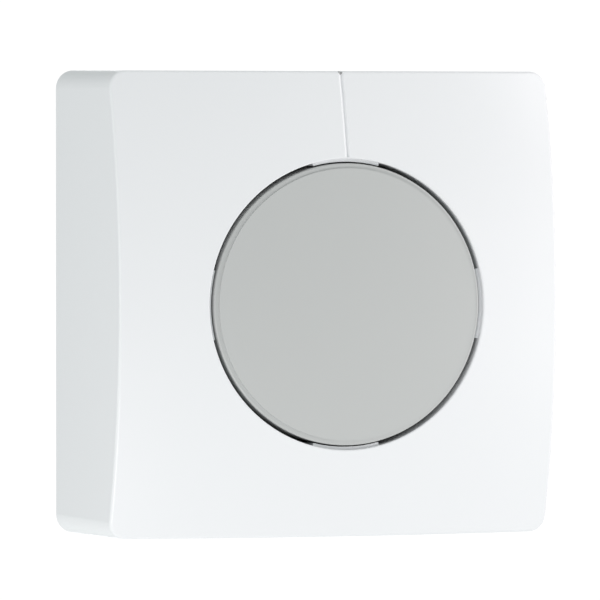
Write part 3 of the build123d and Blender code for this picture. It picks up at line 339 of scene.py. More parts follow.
@dataclass(frozen=True)
class NotchShadePaintedShell(Moulded):
    """The cover's plastic, with painted shade darkening the notch where its groove ends at the top edge."""

    notch_mm: Place = (-0.1, 40.5, 46.85)
    notch_radius_mm: float = 0.55
    notch_core: float = 0.8
    notch_shade_colour: Colour = (0.40, 0.40, 0.405)

    def tint(self, sheet: NodeSheet) -> Socket:
        """The plastic's colour, and a darker one, painted shade, inside a ball about the notch.

        Args:
            sheet: The material's node tree.

        Returns:
            The colour.
        """
        x, depth, z = self.notch_mm
        place = sheet.moved((x * MM, -depth * MM, z * MM))
        reach = sheet.value("ShaderNodeVectorMath", "Value", {0: place}, operation="LENGTH")
        radius = self.notch_radius_mm * MM
        # Painted shade: the notch's darkness is mixed into the colour here, not cast by light.
        inside = sheet.remap(reach, (self.notch_core * radius, radius), (1.0, 0.0))
        return sheet.mix(inside, super().tint(sheet), self.notch_shade_colour)


@dataclass(frozen=True)
class Metal:
    """Bare or plated metal with rolled or drawn streaks and a little dullness in patches."""

    name: str
    colour: Colour
    roughness: float = 0.28
    streak_axis: Axis = Axis.X
    streak_scale: float = 2600.0
    streak_length: float = 12.0
    streak_height: float = 0.0000030
    patch_scale: float = 310.0

    def material(self) -> bpy.types.Material:
        """Streaks drawn out along one axis, patches of duller metal and fine scratches.

        Returns:
            The material.
        """
        sheet = NodeSheet(self.name)
        sheet.set(Metallic=1.0)
        drawn = tuple(self.streak_length if axis is self.streak_axis else 1.0 for axis in Axis)
        streak = sheet.noise(self.streak_scale, 4.0, 0.65, sheet.moved((0, 0, 0), drawn))
        patch = sheet.noise(self.patch_scale, 4.0, 0.6)
        colour = sheet.mix(patch, shade(self.colour, 0.86), shade(self.colour, 1.06))
        dull = sheet.remap(patch, (0.3, 0.75), (self.roughness * 1.5, self.roughness * 0.8))
        rough = sheet.math("ADD", dull, sheet.remap(streak, (0.35, 0.65), (-0.05, 0.05)))
        return sheet.finish(colour, rough, sheet.bump(streak, self.streak_height))


@dataclass(frozen=True)
class Rubber:
    """Soft rubber or foam with a dry, slightly dusty face."""

    name: str
    colour: Colour
    pores: float = 0.0
    pore_depth: float = 0.00004
    dust_scale: float = 700.0
    skin_scale: float = 2400.0
    skin_height: float = 0.0000080

    def material(self) -> bpy.types.Material:
        """A matt colour, lighter in a dusty noise, with pores if it is foam.

        Returns:
            The material.
        """
        sheet = NodeSheet(self.name)
        sheet.set(IOR=1.45, Sheen_Weight=0.15, Sheen_Roughness=0.4)
        dust = sheet.noise(self.dust_scale, 5.0, 0.65)
        colour = sheet.mix(sheet.remap(dust, (0.45, 0.8), (0.0, 0.6)), self.colour, shade(self.colour, 1.5))
        rough = sheet.remap(dust, (0.2, 0.8), (0.68, 0.86))
        relief = sheet.bump(sheet.noise(self.skin_scale, 3.0), self.skin_height)
        if self.pores:
            pits = sheet.remap(sheet.cells(self.pores), (0.1, 0.5), (0.0, 1.0))
            relief = sheet.bump(pits, self.pore_depth, relief)
        return sheet.finish(colour, rough, relief)


@dataclass(frozen=True)
class BoardMask:
    """Solder mask over copper tracks on glass-fibre board, with bare cut edges."""

    name: str
    mask: Colour
    face_depths_mm: Pair
    pitch: float = 0.0017
    run_length: float = 0.017
    missing: float = 0.42
    pad_share: float = 0.34
    hole_share: float = 0.14
    track_share: float = 0.13
    zone_width: float = 0.019
    zone_height: float = 0.013
    edge_margin: float = 0.00004
    copper_height: float = 0.00003
    weave_scale: float = 5200.0
    weave_dark: Colour = (0.20, 0.19, 0.09)
    weave_light: Colour = (0.34, 0.32, 0.17)

    def runs(self, sheet: NodeSheet, along: Socket, across: Socket,
             tracks: TrackSet) -> tuple[Socket, Socket]:
        """Parallel tracks in lanes one pitch apart, broken at random, each run with a via at its start.

        Args:
            sheet: The material's node tree.
            along: The coordinate that the tracks follow.
            across: The coordinate that counts the lanes.
            tracks: Which set of tracks this is.

        Returns:
            The copper's mask and the vias' hole mask.
        """
        lane = sheet.math("DIVIDE", across, self.pitch)
        row = sheet.math("FLOOR", lane)
        aside = sheet.math("MULTIPLY", sheet.math("SUBTRACT", sheet.math("FRACT", lane), 0.5), self.pitch)
        shift = sheet.chance(row, tracks.value)
        step = sheet.math("ADD", sheet.math("DIVIDE", along, self.run_length), shift)
        begun = sheet.math("MULTIPLY", sheet.math("FRACT", step), self.run_length)
        luck = sheet.chance(row, sheet.math("FLOOR", step), tracks.value)
        there = sheet.math("GREATER_THAN", luck, self.missing)
        pad, hole = self.pad_share * self.pitch, self.hole_share * self.pitch
        ahead = sheet.math("SUBTRACT", begun, pad)
        square = sheet.math("ADD", sheet.math("MULTIPLY", aside, aside), sheet.math("MULTIPLY", ahead, ahead))
        line = sheet.math("LESS_THAN", sheet.math("ABSOLUTE", aside), self.track_share * self.pitch)
        disc = sheet.math("LESS_THAN", square, pad**2)
        drilled = sheet.math("LESS_THAN", square, hole**2)
        return (sheet.math("MULTIPLY", there, sheet.math("MAXIMUM", line, disc)),
                sheet.math("MULTIPLY", there, drilled))

    def material(self) -> bpy.types.Material:
        """Zones of level and of upright tracks, lighter and raised under the mask, over a darker board, with
        painted shade for the vias' holes.

        Returns:
            The material.
        """
        sheet = NodeSheet(self.name)
        sheet.set(IOR=1.52, Coat_Weight=0.35, Coat_Roughness=0.12)
        x, z = sheet.along(Axis.X), sheet.along(Axis.Z)
        level, upright = self.runs(sheet, x, z, TrackSet.LEVEL), self.runs(sheet, z, x, TrackSet.UPRIGHT)
        column = sheet.math("FLOOR", sheet.math("DIVIDE", x, self.zone_width))
        zone_row = sheet.math("FLOOR", sheet.math("DIVIDE", z, self.zone_height))
        zone = sheet.math("GREATER_THAN", sheet.chance(column, zone_row, TrackSet.ZONES.value), 0.5)
        other = sheet.math("SUBTRACT", 1.0, zone)
        copper, hole = (
            sheet.math("ADD", sheet.math("MULTIPLY", zone, one), sheet.math("MULTIPLY", other, two))
            for one, two in zip(level, upright))
        cloud = sheet.noise(160.0, 4.0)
        bare = sheet.mix(cloud, shade(self.mask, 0.85), shade(self.mask, 1.12))
        # Painted shade: each via's hole is a dark dot standing in for the shaded inside of the hole.
        faced = sheet.mix(hole, sheet.mix(copper, bare, shade(self.mask, 2.1)), shade(self.mask, 0.25))
        rear, front = self.face_depths_mm
        off = sheet.math("ABSOLUTE", sheet.math("SUBTRACT", sheet.along(Axis.Y), -MM * (rear + front) / 2))
        edge = sheet.math("LESS_THAN", off, MM * (front - rear) / 2 - self.edge_margin)
        weave = sheet.mix(sheet.bands(self.weave_scale, Axis.Y), self.weave_dark, self.weave_light)
        colour = sheet.mix(edge, faced, weave)
        rough = sheet.remap(cloud, (0.3, 0.7), (0.24, 0.34))
        return sheet.finish(colour, rough, sheet.bump(copper, self.copper_height))


@dataclass(frozen=True)
class Wound:
    """Wire or tape wound round an axis: fine turns that catch the light."""

    name: str
    colour: Colour
    axis: Axis
    turns: float
    metallic: float = 0.0
    roughness: float = 0.35
    turn_height: float = 0.00003
    uneven_scale: float = 260.0

    def material(self) -> bpy.types.Material:
        """Sine bands across the axis make the turns, with painted shade darkening the gap between them.

        Returns:
            The material.
        """
        sheet = NodeSheet(self.name)
        sheet.set(Metallic=self.metallic, Coat_Weight=0.4, Coat_Roughness=0.15)
        turn = sheet.bands(self.turns, self.axis, 0.3)
        uneven = sheet.noise(self.uneven_scale, 3.0)
        wire = sheet.mix(uneven, shade(self.colour, 0.82), shade(self.colour, 1.1))
        # Painted shade: the gaps between turns are darkened in the colour.
        colour = sheet.mix(sheet.remap(turn, (0.0, 0.35), (0.75, 0.0)), wire, shade(self.colour, 0.3))
        rough = sheet.remap(uneven, (0.3, 0.7), (self.roughness * 0.85, self.roughness * 1.2))
        return sheet.finish(colour, rough, sheet.bump(turn, self.turn_height))


@dataclass(frozen=True)
class Sleeved:
    """An aluminium can in a shrunk sleeve, with a pale stripe down one side and a bare top.

    The stripe and its marks end between two angles, in radians from the side that is up.
    """

    name: str
    colour: Colour
    centre_mm: Pair
    radius_mm: float
    top_depth_mm: float
    stripe: Pair = (0.40, 0.42)
    mark: Pair = (0.16, 0.17)
    mark_scale: float = 140.0
    fold_mm: float = 0.7
    lip_mm: float = 0.45
    stripe_colour: Colour = (0.55, 0.58, 0.60)
    can_colour: Colour = (0.68, 0.68, 0.67)
    can_relief: float = 0.0000040

    def material(self) -> bpy.types.Material:
        """The stripe and its marks are sectors about the can's axis, and the bare metal a disc on its top.

        Returns:
            The material.
        """
        sheet = NodeSheet(self.name)
        place = sheet.moved((self.centre_mm[0] * MM, 0.0, self.centre_mm[1] * MM))
        side, up = sheet.along(Axis.X, place), sheet.along(Axis.Z, place)
        square = sheet.math("ADD", sheet.math("POWER", side, 2.0), sheet.math("POWER", up, 2.0))
        reach = sheet.math("SQRT", square)
        angle = sheet.math("ABSOLUTE", sheet.math("ARCTAN2", side, up))
        stripe = sheet.remap(angle, self.stripe, (1.0, 0.0))
        dash = sheet.remap(sheet.bands(self.mark_scale, Axis.Y), (0.78, 0.80), (0.0, 1.0))
        mark = sheet.math("MULTIPLY", dash, sheet.remap(angle, self.mark, (1.0, 0.0)))
        sleeve = sheet.mix(mark, sheet.mix(stripe, self.colour, self.stripe_colour), self.colour)
        at_top = sheet.math("LESS_THAN", sheet.along(Axis.Y), -(self.top_depth_mm - self.lip_mm) * MM)
        inside = sheet.math("LESS_THAN", reach, (self.radius_mm - self.fold_mm) * MM)
        bare = sheet.math("MULTIPLY", at_top, inside)
        turned = sheet.noise(900.0, 3.0)
        shine = sheet.remap(turned, (0.3, 0.7), (0.22, 0.34))
        rough = sheet.math("ADD", shine, sheet.math("MULTIPLY", bare, 0.08))
        colour = sheet.mix(bare, sleeve, self.can_colour)
        return sheet.finish(colour, rough, sheet.bump(turned, self.can_relief), bare)


@dataclass(frozen=True)
class Clear:
    """Polished clear plastic of a light guide."""

    name: str
    dark: Colour = (0.86, 0.90, 0.91)
    light: Colour = (0.93, 0.95, 0.96)

    def material(self) -> bpy.types.Material:
        """A transmitting shader with faint flow marks.

        Returns:
            The material.
        """
        sheet = NodeSheet(self.name)
        sheet.set(Transmission_Weight=0.85, IOR=1.49)
        flow = sheet.noise(350.0, 2.0)
        rough = sheet.remap(flow, (0.3, 0.7), (0.04, 0.10))
        return sheet.finish(sheet.mix(flow, self.dark, self.light), rough, sheet.bump(flow, 0.000004))


MASK_GREEN = (0.012, 0.085, 0.035)
SLEEVE_BLUE = (0.012, 0.018, 0.05)
FINISHES = (
    NotchShadePaintedShell("cover_white", (0.819, 0.831, 0.847), 0.30, Grain.SATIN, 0.004, ior=1.5),
    Moulded("lens_grey", (0.509, 0.521, 0.516), 0.36, Grain.SATIN, 0.006, ior=1.47),
    Moulded("base_white", (0.78, 0.79, 0.78), 0.55, Grain.SPARKED, 0.01),
    Moulded("housing_grey", (0.045, 0.047, 0.050), 0.55, Grain.SPARKED, 0.04),
    Rubber("rubber_grey", (0.10, 0.10, 0.105)),
    Rubber("seal_foam", (0.02, 0.02, 0.02), 1900.0),
    Metal("zinc_steel", (0.66, 0.67, 0.66), 0.30),
    Metal("brass", (0.80, 0.60, 0.27), 0.30, Axis.Z),
    Moulded("terminal_grey", (0.16, 0.18, 0.19)),
    Moulded("relay_case", (0.012, 0.020, 0.045), 0.30, Grain.POLISHED, 0.05, coat=0.2),
    Moulded("black_plastic", (0.012, 0.012, 0.013), 0.48, Grain.SPARKED, 0.08),
    Moulded("bobbin_white", (0.62, 0.60, 0.52)),
    Wound("copper_wire", (0.70, 0.25, 0.09), Axis.X, 1500.0, 0.9, 0.3),
    Metal("soft_iron", (0.52, 0.51, 0.49), 0.34),
    Metal("contact_alloy", (0.83, 0.70, 0.45), 0.22),
    Moulded("fuse_brown", (0.07, 0.025, 0.012), 0.28, Grain.POLISHED, 0.08, coat=0.3),
    Moulded("ferrite", (0.035, 0.035, 0.038), 0.62, Grain.CAST, 0.10),
    Wound("winding_tape", (0.72, 0.47, 0.05), Axis.Z, 170.0, 0.0, 0.4),
    Moulded("film_yellow", (0.66, 0.47, 0.09), 0.30, Grain.POLISHED, 0.04, coat=0.3),
    Moulded("varistor_blue", (0.015, 0.10, 0.34), 0.22, Grain.SOFT, 0.08, coat=0.6),
    Moulded("sensor_black", (0.015, 0.015, 0.018), 0.2, Grain.POLISHED, 0.05),
    Moulded("lamp_white", (0.78, 0.74, 0.55), 0.25, Grain.POLISHED),
    Clear("clear_plastic"),
    Moulded("pot_blue", (0.02, 0.09, 0.33), 0.45),
    Moulded("dip_red", (0.36, 0.012, 0.010), 0.35, Grain.POLISHED, 0.05),
    Moulded("dial_grey", (0.42, 0.43, 0.44), 0.45, Grain.SPARKED, 0.02),
    Moulded("rotor_white", (0.76, 0.76, 0.72), 0.45),
    BoardMask("board_green", MASK_GREEN, (4.6, 6.2)),
    Sleeved("capacitor_sleeve", SLEEVE_BLUE, (35.08, 15.8), 5.0, 16.7),
)
# Solids whose pattern has its own place: the node, then the record's slot and the finish
VARIANTS = {
    "logic_board": ("board_green", BoardMask("logic_board_green", MASK_GREEN, (20.0, 21.6), pitch=0.0013)),
    "small_capacitor": ("capacitor_sleeve", Sleeved("small_sleeve", SLEEVE_BLUE, (-6.88, 15.8), 3.0, 13.2)),
}


@dataclass(frozen=True)
class Coat:
    """A material together with the record's slot that it belongs to."""

    slot: str
    material: bpy.types.Material


class Surface:
    """Points and faces of a piece, worked out as whole arrays in metres."""

    def __init__(self, points: np.ndarray, faces: list[list[int]]) -> None:
        """Keeps the arrays.

        Args:
            points: One row of X, Y and Z for each point.
            faces: The points of each face, in order round it.
        """
        self.points = np.asarray(points, float).reshape(-1, 3)
        self.faces = faces

    @classmethod
    def through(cls, rings: np.ndarray, looped: bool = False) -> "Surface":
        """A skin through rings of points: ring i joins ring i + 1, point by point.

        Args:
            rings: An array of rings, points and coordinates.
            looped: True if the last ring joins the first, and False for flat ends.

        Returns:
            The closed surface.
        """
        count, around = rings.shape[:2]
        ring = np.arange(count if looped else count - 1)[:, None]
        here = np.arange(around)[None, :]
        after, following = (here + 1) % around, (ring + 1) % count
        quads = np.stack([ring * around + here, ring * around + after, following * around + after,
                          following * around + here], -1).reshape(-1, 4)
        last = (count - 1) * around
        ends = [] if looped else [list(range(around))[::-1], list(range(last, last + around))]
        return cls(rings, quads.tolist() + ends)

    @classmethod
    def turned(cls, profile: np.ndarray, sides: int = 32) -> "Surface":
        """A profile turned about the depth axis: point (r, d) goes to (r cos t, -d, r sin t).

        Args:
            profile: Rows of radius and depth in millimetres, closed if the first row comes back.
            sides: Steps of the turn.

        Returns:
            The surface.
        """
        turn = np.linspace(0, 2 * np.pi, sides, endpoint=False)
        looped = bool(np.allclose(profile[0], profile[-1]))
        line = profile[:-1] if looped else profile
        radius, depth = line[:, :1], line[:, 1:]
        rings = np.stack([radius * np.cos(turn), -depth + 0 * turn, radius * np.sin(turn)], -1) * MM
        return cls.through(rings, looped)

    @classmethod
    def tube(cls, path: np.ndarray, radius: float, aside: Place, sides: int = 8) -> "Surface":
        """A round tube along a path: circles in the plane of the path's normal and binormal.

        Args:
            path: Points in millimetres.
            radius: Radius in millimetres.
            aside: A direction that the path never runs along, from which the normals are worked out.
            sides: Points round the tube.

        Returns:
            The surface.
        """
        ahead = np.gradient(path, axis=0)
        ahead /= np.linalg.norm(ahead, axis=1, keepdims=True)
        first = np.cross(ahead, aside)
        first /= np.linalg.norm(first, axis=1, keepdims=True)
        second = np.cross(ahead, first)
        turn = np.linspace(0, 2 * np.pi, sides, endpoint=False)[None, :, None]
        rings = path[:, None] + radius * (np.cos(turn) * first[:, None] + np.sin(turn) * second[:, None])
        return cls.through(rings * MM)

    @classmethod
    def block(cls, width: float, depth: float, height: float, edge: float = 0.05) -> "Surface":
        """A block about the origin: rings of a cut-cornered rectangle that shrink by the bevel at both ends.

        Args:
            width: Size along X in millimetres.
            depth: Size along Y.
            height: Size along Z.
            edge: The bevel.

        Returns:
            The surface.
        """
        levels = np.array([(-depth / 2, edge), (-depth / 2 + edge, 0.0), (depth / 2 - edge, 0.0),
                           (depth / 2, edge)])
        side, up = width / 2 - levels[:, 1:], height / 2 - levels[:, 1:]
        cut = edge + 0 * side
        along = np.hstack([side, side, side - cut, cut - side, -side, -side, cut - side, side - cut])
        over = np.hstack([cut - up, up - cut, up, up, up - cut, cut - up, -up, -up])
        return cls.through(np.stack([along, levels[:, :1] + 0 * along, over], -1) * MM)

    @classmethod
    def together(cls, parts: list["Surface"]) -> "Surface":
        """Several surfaces as one.

        Args:
            parts: The surfaces.

        Returns:
            All of them, in their order.
        """
        starts = np.cumsum([0] + [len(part.points) for part in parts])
        faces = [[int(start) + point for point in face]
                 for start, part in zip(starts, parts) for face in part.faces]
        return cls(np.concatenate([part.points for part in parts]), faces)

    def at(self, x: float, depth: float, z: float, turn: float = 0.0) -> "Surface":
        """The surface turned about the depth axis and moved.

        Args:
            x: Place along X in millimetres.
            depth: Depth in millimetres.
            z: Place along Z in millimetres.
            turn: Turn in radians, clockwise as seen from the front.

        Returns:
            The moved copy.
        """
        c, s = math.cos(turn), math.sin(turn)
        spin = np.array([[c, 0, s], [0, 1, 0], [-s, 0, c]])
        return Surface(self.points @ spin.T + np.array([x, -depth, z]) * MM, self.faces)

    def sideways(self) -> "Surface":
        """The surface turned by a quarter about Z, so that what pointed to the front points to the right."""
        return Surface(self.points[:, [1, 0, 2]] * np.array([-1.0, 1.0, 1.0]), self.faces)

    def repeated(self, places: np.ndarray) -> "Surface":
        """Copies of the surface.

        Args:
            places: Rows of X, depth and Z in millimetres.

        Returns:
            All copies as one surface.
        """
        shift = np.asarray(places, float) * np.array([1.0, -1.0, 1.0]) * MM
        points = (shift[:, None] + self.points[None]).reshape(-1, 3)
        count = len(self.points)
        faces = [[copy * count + point for point in face]
                 for copy in range(len(shift)) for face in self.faces]
        return Surface(points, faces)

    def piece(self, name: str, coat: Coat, body: Body, sharp_deg: float = SHARP_DEG) -> None:
        """Makes the object, smooth but for sharp edges, and lets it ride on its body.

        Args:
            name: The piece's name.
            coat: Its material and slot.
            body: The body that carries it.
            sharp_deg: Angle past which an edge stays sharp.
        """
        mesh = bpy.data.meshes.new(name)
        mesh.from_pydata(self.points.tolist(), [], self.faces)
        work = bmesh.new()
        work.from_mesh(mesh)
        bmesh.ops.remove_doubles(work, verts=work.verts, dist=MERGE_DISTANCE)
        bmesh.ops.recalc_face_normals(work, faces=work.faces)
        work.to_mesh(mesh)
        work.free()
        mesh.polygons.foreach_set("use_smooth", np.ones(len(mesh.polygons), bool))
        mesh.set_sharp_from_angle(angle=math.radians(sharp_deg))
        mesh.materials.append(coat.material)
        made = bpy.data.objects.new(name, mesh)
        bpy.context.scene.collection.objects.link(made)
        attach(made, body.value)
        LOG.info("piece %s: %d faces", name, len(self.faces))


@dataclass(frozen=True)
class Numeral:
    """Raised generic numbers that stand upright in the X and Z plane."""

    height_mm: float
    rise_mm: float
    type_size: float = 1.4
    curve_steps: int = 4

    def write(self, text: str) -> Surface:
        """The digits' outlines, filled and raised by half the rise each side of the origin.

        Args:
            text: The digits.

        Returns:
            The surface, with its middle at the origin.
        """
        curve = bpy.data.curves.new("numeral", "FONT")
        curve.body, curve.align_x, curve.align_y = text, "CENTER", "CENTER"
        curve.size, curve.extrude = self.height_mm * MM * self.type_size, self.rise_mm * MM / 2
        curve.resolution_u = self.curve_steps
        holder = bpy.data.objects.new("numeral", curve)
        bpy.context.scene.collection.objects.link(holder)
        bpy.context.view_layer.update()
        mesh = bpy.data.meshes.new_from_object(holder.evaluated_get(bpy.context.evaluated_depsgraph_get()))
        flat = np.zeros(len(mesh.vertices) * 3, np.float32)
        mesh.vertices.foreach_get("co", flat)
        flat = flat.reshape(-1, 3)
        faces = [list(polygon.vertices) for polygon in mesh.polygons]
        bpy.data.objects.remove(holder)
        bpy.data.curves.remove(curve)
        bpy.data.meshes.remove(mesh)
        upright = np.stack([flat[:, 0], -flat[:, 2], flat[:, 1]], -1)
        middle = (upright.max(0) + upright.min(0)) / 2
        return Surface(upright - middle, faces)


@dataclass(frozen=True)
class Layout:
    """Places in millimetres that several pieces share with the solids."""

    power_rear: float = 4.6
    power_front: float = 6.2
    logic_rear: float = 20.0
    logic_front: float = 21.6
    lid_front: float = 28.0
    dial: float = 31.98
    dip_z: float = 31.28
    dip_pitch: float = 2.54


AT = Layout()


@dataclass
class LidMarks:
    """Printed-on scales of the two dials and the numbers of the slide switch, on the lid's front."""

    scale_radius_mm: float = 9.1
    tick_size_mm: Pair = (0.28, 1.1)
    tick_edge_mm: float = 0.02
    short_tick: float = 0.65
    long_tick_every: int = 5
    tick_count: int = 11
    sweep_deg: float = 270.0
    number_radius_mm: float = 11.1
    number_height_mm: float = 1.5
    rise_mm: float = 0.12
    sunk_mm: float = 0.01
    dip_x_mm: float = 37.0

    @property
    def level(self) -> float:
        """Depth of the marks' middle in millimetres."""
        return AT.lid_front + self.rise_mm / 2 - self.sunk_mm

    def around(self, centre_x: float, reach: float, angle: float) -> Place:
        """Place at an angle on a circle about a dial's centre, as X, depth and Z in millimetres."""
        return centre_x + reach * math.sin(angle), self.level, -AT.dial + reach * math.cos(angle)

    def scale(self, centre_x: float, numbers: tuple[str, ...]) -> Surface:
        """Ticks evenly spaced on an arc that is open at the bottom, with numbers outside it.

        Args:
            centre_x: The dial's place along X in millimetres.
            numbers: Numbers spread evenly over the arc.

        Returns:
            The surface.
        """
        angles = np.radians(np.linspace(-self.sweep_deg / 2, self.sweep_deg / 2, self.tick_count))
        width, length = self.tick_size_mm
        parts = []
        for count, angle in enumerate(angles):
            share = self.short_tick if count % self.long_tick_every else 1.0
            tick = Surface.block(width, self.rise_mm, length * share, self.tick_edge_mm)
            parts.append(tick.at(*self.around(centre_x, self.scale_radius_mm, angle), angle))
        digits = Numeral(self.number_height_mm, self.rise_mm)
        for number, angle in zip(numbers, angles[::(self.tick_count - 1) // (len(numbers) - 1)]):
            parts.append(digits.write(number).at(*self.around(centre_x, self.number_radius_mm, angle)))
        return Surface.together(parts)

    def build(self, ink: Coat) -> None:
        """Makes the three groups of marks.

        Args:
            ink: What they are printed with.
        """
        self.scale(-AT.dial, ("1", "2", "3")).piece("threshold_scale_marks", ink, Body.SENSOR_UNIT)
        self.scale(AT.dial, ("0", "5", "10")).piece("time_scale_marks", ink, Body.SENSOR_UNIT)
        digits = Numeral(self.number_height_mm, self.rise_mm)
        rows = [digits.write(str(n)).at(self.dip_x_mm, self.level, AT.dip_z + (2.5 - n) * AT.dip_pitch)
                for n in range(1, 5)]
        Surface.together(rows).piece("slide_switch_numbers", ink, Body.SENSOR_UNIT)


@dataclass
class TerminalMarks:
    """Numbers of the five poles, raised on the terminal block's front."""

    front_depth_mm: float = 17.2
    row_z_mm: float = -12.1
    pitch_mm: float = 6.6
    poles: int = 5
    height_mm: float = 1.4
    rise_mm: float = 0.16
    sunk_mm: float = 0.01

    def build(self, plastic: Coat) -> None:
        """Makes the row of numbers.

        Args:
            plastic: Their plastic.
        """
        level = self.front_depth_mm + self.rise_mm / 2 - self.sunk_mm
        digits = Numeral(self.height_mm, self.rise_mm)
        row = [digits.write(str(n + 1)).at((n - (self.poles - 1) // 2) * self.pitch_mm, level, self.row_z_mm)
               for n in range(self.poles)]
        Surface.together(row).piece("terminal_numbers", plastic, Body.BASE)


@dataclass
class Chips:
    """Small two-ended chips behind the logic board, each with a tinned cap over both ends."""

    size_mm: Place = (1.6, 0.5, 0.8)
    bare_ends_mm: float = 0.5
    body_edge_mm: float = 0.04
    cap_width_mm: float = 0.32
    cap_wall_mm: float = 0.06
    cap_edge_mm: float = 0.05
    cap_inset_mm: float = 0.18
    columns: int = 5
    rows: int = 4
    pitch_mm: Pair = (3.4, 2.6)
    stagger_mm: float = 1.1
    fields_mm: tuple[tuple[float, float, int], ...] = ((-30.0, 11.0, 20), (15.0, 11.0, 20), (-8.5, -8.0, 10))

    def places(self) -> np.ndarray:
        """Fields of staggered rows beside and below the plug connection, each cut to its number of chips.

        Returns:
            Rows of X, depth and Z in millimetres.
        """
        aside, above = self.pitch_mm
        across, up = np.meshgrid(np.arange(self.columns) * aside, np.arange(self.rows) * above)
        shifted = across + (up / above % 2) * self.stagger_mm
        field = np.stack([shifted, 0 * up, up], -1).reshape(-1, 3)
        level = AT.logic_rear - self.size_mm[1] / 2
        return np.concatenate([field[:count] + (x, level, z) for x, z, count in self.fields_mm])

    def build(self, ceramic: Coat, tin: Coat) -> None:
        """Makes all bodies and all caps.

        Args:
            ceramic: The bodies' coat.
            tin: The caps' coat.
        """
        width, rise, height = self.size_mm
        places = self.places()
        body = Surface.block(width - self.bare_ends_mm, rise, height, self.body_edge_mm)
        body.repeated(places).piece("chip_bodies", ceramic, Body.SENSOR_UNIT)
        cap = Surface.block(self.cap_width_mm, rise + self.cap_wall_mm, height + self.cap_wall_mm,
                            self.cap_edge_mm)
        reach = width / 2 - self.cap_inset_mm
        caps = [cap.repeated(places + (side * reach, 0, 0)) for side in (-1, 1)]
        Surface.together(caps).piece("chip_ends", tin, Body.SENSOR_UNIT)


@dataclass
class SolderJoints:
    """Cones of solder round the ends of the pins, behind both boards."""

    radius_mm: float = 0.75
    rise_mm: float = 0.85
    narrowing: float = 0.72
    sunk_mm: float = 0.02
    pin_end_mm: tuple[Pair, ...] = ((0.16, -1.0), (0.02, -1.04))
    steps: int = 7
    sides: int = 14
    dial_pin_pitch_mm: float = 2.5
    dip_pin_rows_mm: Pair = (26.47, 34.09)
    power_pins_mm: tuple[Pair, ...] = (
        (-37.5, 11.5), (-37.5, 20.0), (-14.2, 12.0), (-14.2, 15.8), (-14.2, 19.6), (35.08, 13.3),
        (35.08, 18.3), (-6.88, 14.8), (-6.88, 16.8), (22.0, 15.8), (26.5, 15.8), (11.4, 15.8), (13.3, 15.8),
        (15.2, 15.8), (17.1, 15.8), (-31.0, 29.5), (-23.2, 29.5), (-31.0, 38.6), (-23.2, 38.6),
        (-17.5, 34.08), (-2.5, 34.08), (15.2, 34.08), (20.8, 34.08), (26.0, 34.08), (31.2, 34.08),
        (-13.2, -8.5), (-6.6, -8.5), (0.0, -8.5), (6.6, -8.5), (13.2, -8.5))

    def joint(self) -> Surface:
        """One joint: its radius falls with its height as a quarter sine wave, down to the pin's blunt end.

        Returns:
            The surface, with the board's rear face at the origin.
        """
        rise = np.linspace(0, 1, self.steps)[:, None]
        radius = self.radius_mm * (1 - self.narrowing * np.sin(rise * np.pi / 2))
        cone = np.hstack([radius, self.sunk_mm - self.rise_mm * rise])
        return Surface.turned(np.concatenate([cone, self.pin_end_mm]), self.sides)

    def build(self, solder: Coat) -> None:
        """Makes the joints behind each board.

        Args:
            solder: Their coat.
        """
        dials = [(x, AT.logic_rear, -AT.dial + step * self.dial_pin_pitch_mm)
                 for x in (-AT.dial, AT.dial) for step in (-1, 0, 1)]
        dip = [(x, AT.logic_rear, AT.dip_z + (1.5 - n) * AT.dip_pitch)
               for x in self.dip_pin_rows_mm for n in range(4)]
        power = [(x, AT.power_rear, z) for x, z in self.power_pins_mm]
        joint = self.joint()
        joint.repeated(dials + dip).piece("logic_board_joints", solder, Body.SENSOR_UNIT, ROUND_SHARP_DEG)
        joint.repeated(power).piece("power_board_joints", solder, Body.BASE, ROUND_SHARP_DEG)


@dataclass
class ChokeWire:
    """The wire wound round the choke's core."""

    centre_mm: Pair = (17.98, 34.08)
    wire_radius_mm: float = 0.2
    wire_sides: int = 7
    wind_radius_mm: float = 3.62
    turns: int = 13
    steps_a_turn: int = 26
    first_turn_mm: float = 1.45
    wound_length_mm: float = 5.1

    def build(self, copper: Coat) -> None:
        """Makes the wire: a tube along a helix whose depth grows evenly with the turn.

        Args:
            copper: The wire's coat.
        """
        turn = np.linspace(0, 2 * np.pi * self.turns, self.steps_a_turn * self.turns)
        depth = AT.power_front + self.first_turn_mm + (turn / turn[-1]) * self.wound_length_mm
        path = np.stack([self.centre_mm[0] + self.wind_radius_mm * np.cos(turn), -depth,
                         self.centre_mm[1] + self.wind_radius_mm * np.sin(turn)], -1)
        wire = Surface.tube(path, self.wire_radius_mm, (0.0, 1.0, 0.0), self.wire_sides)
        wire.piece("choke_wire", copper, Body.BASE, ROUND_SHARP_DEG)


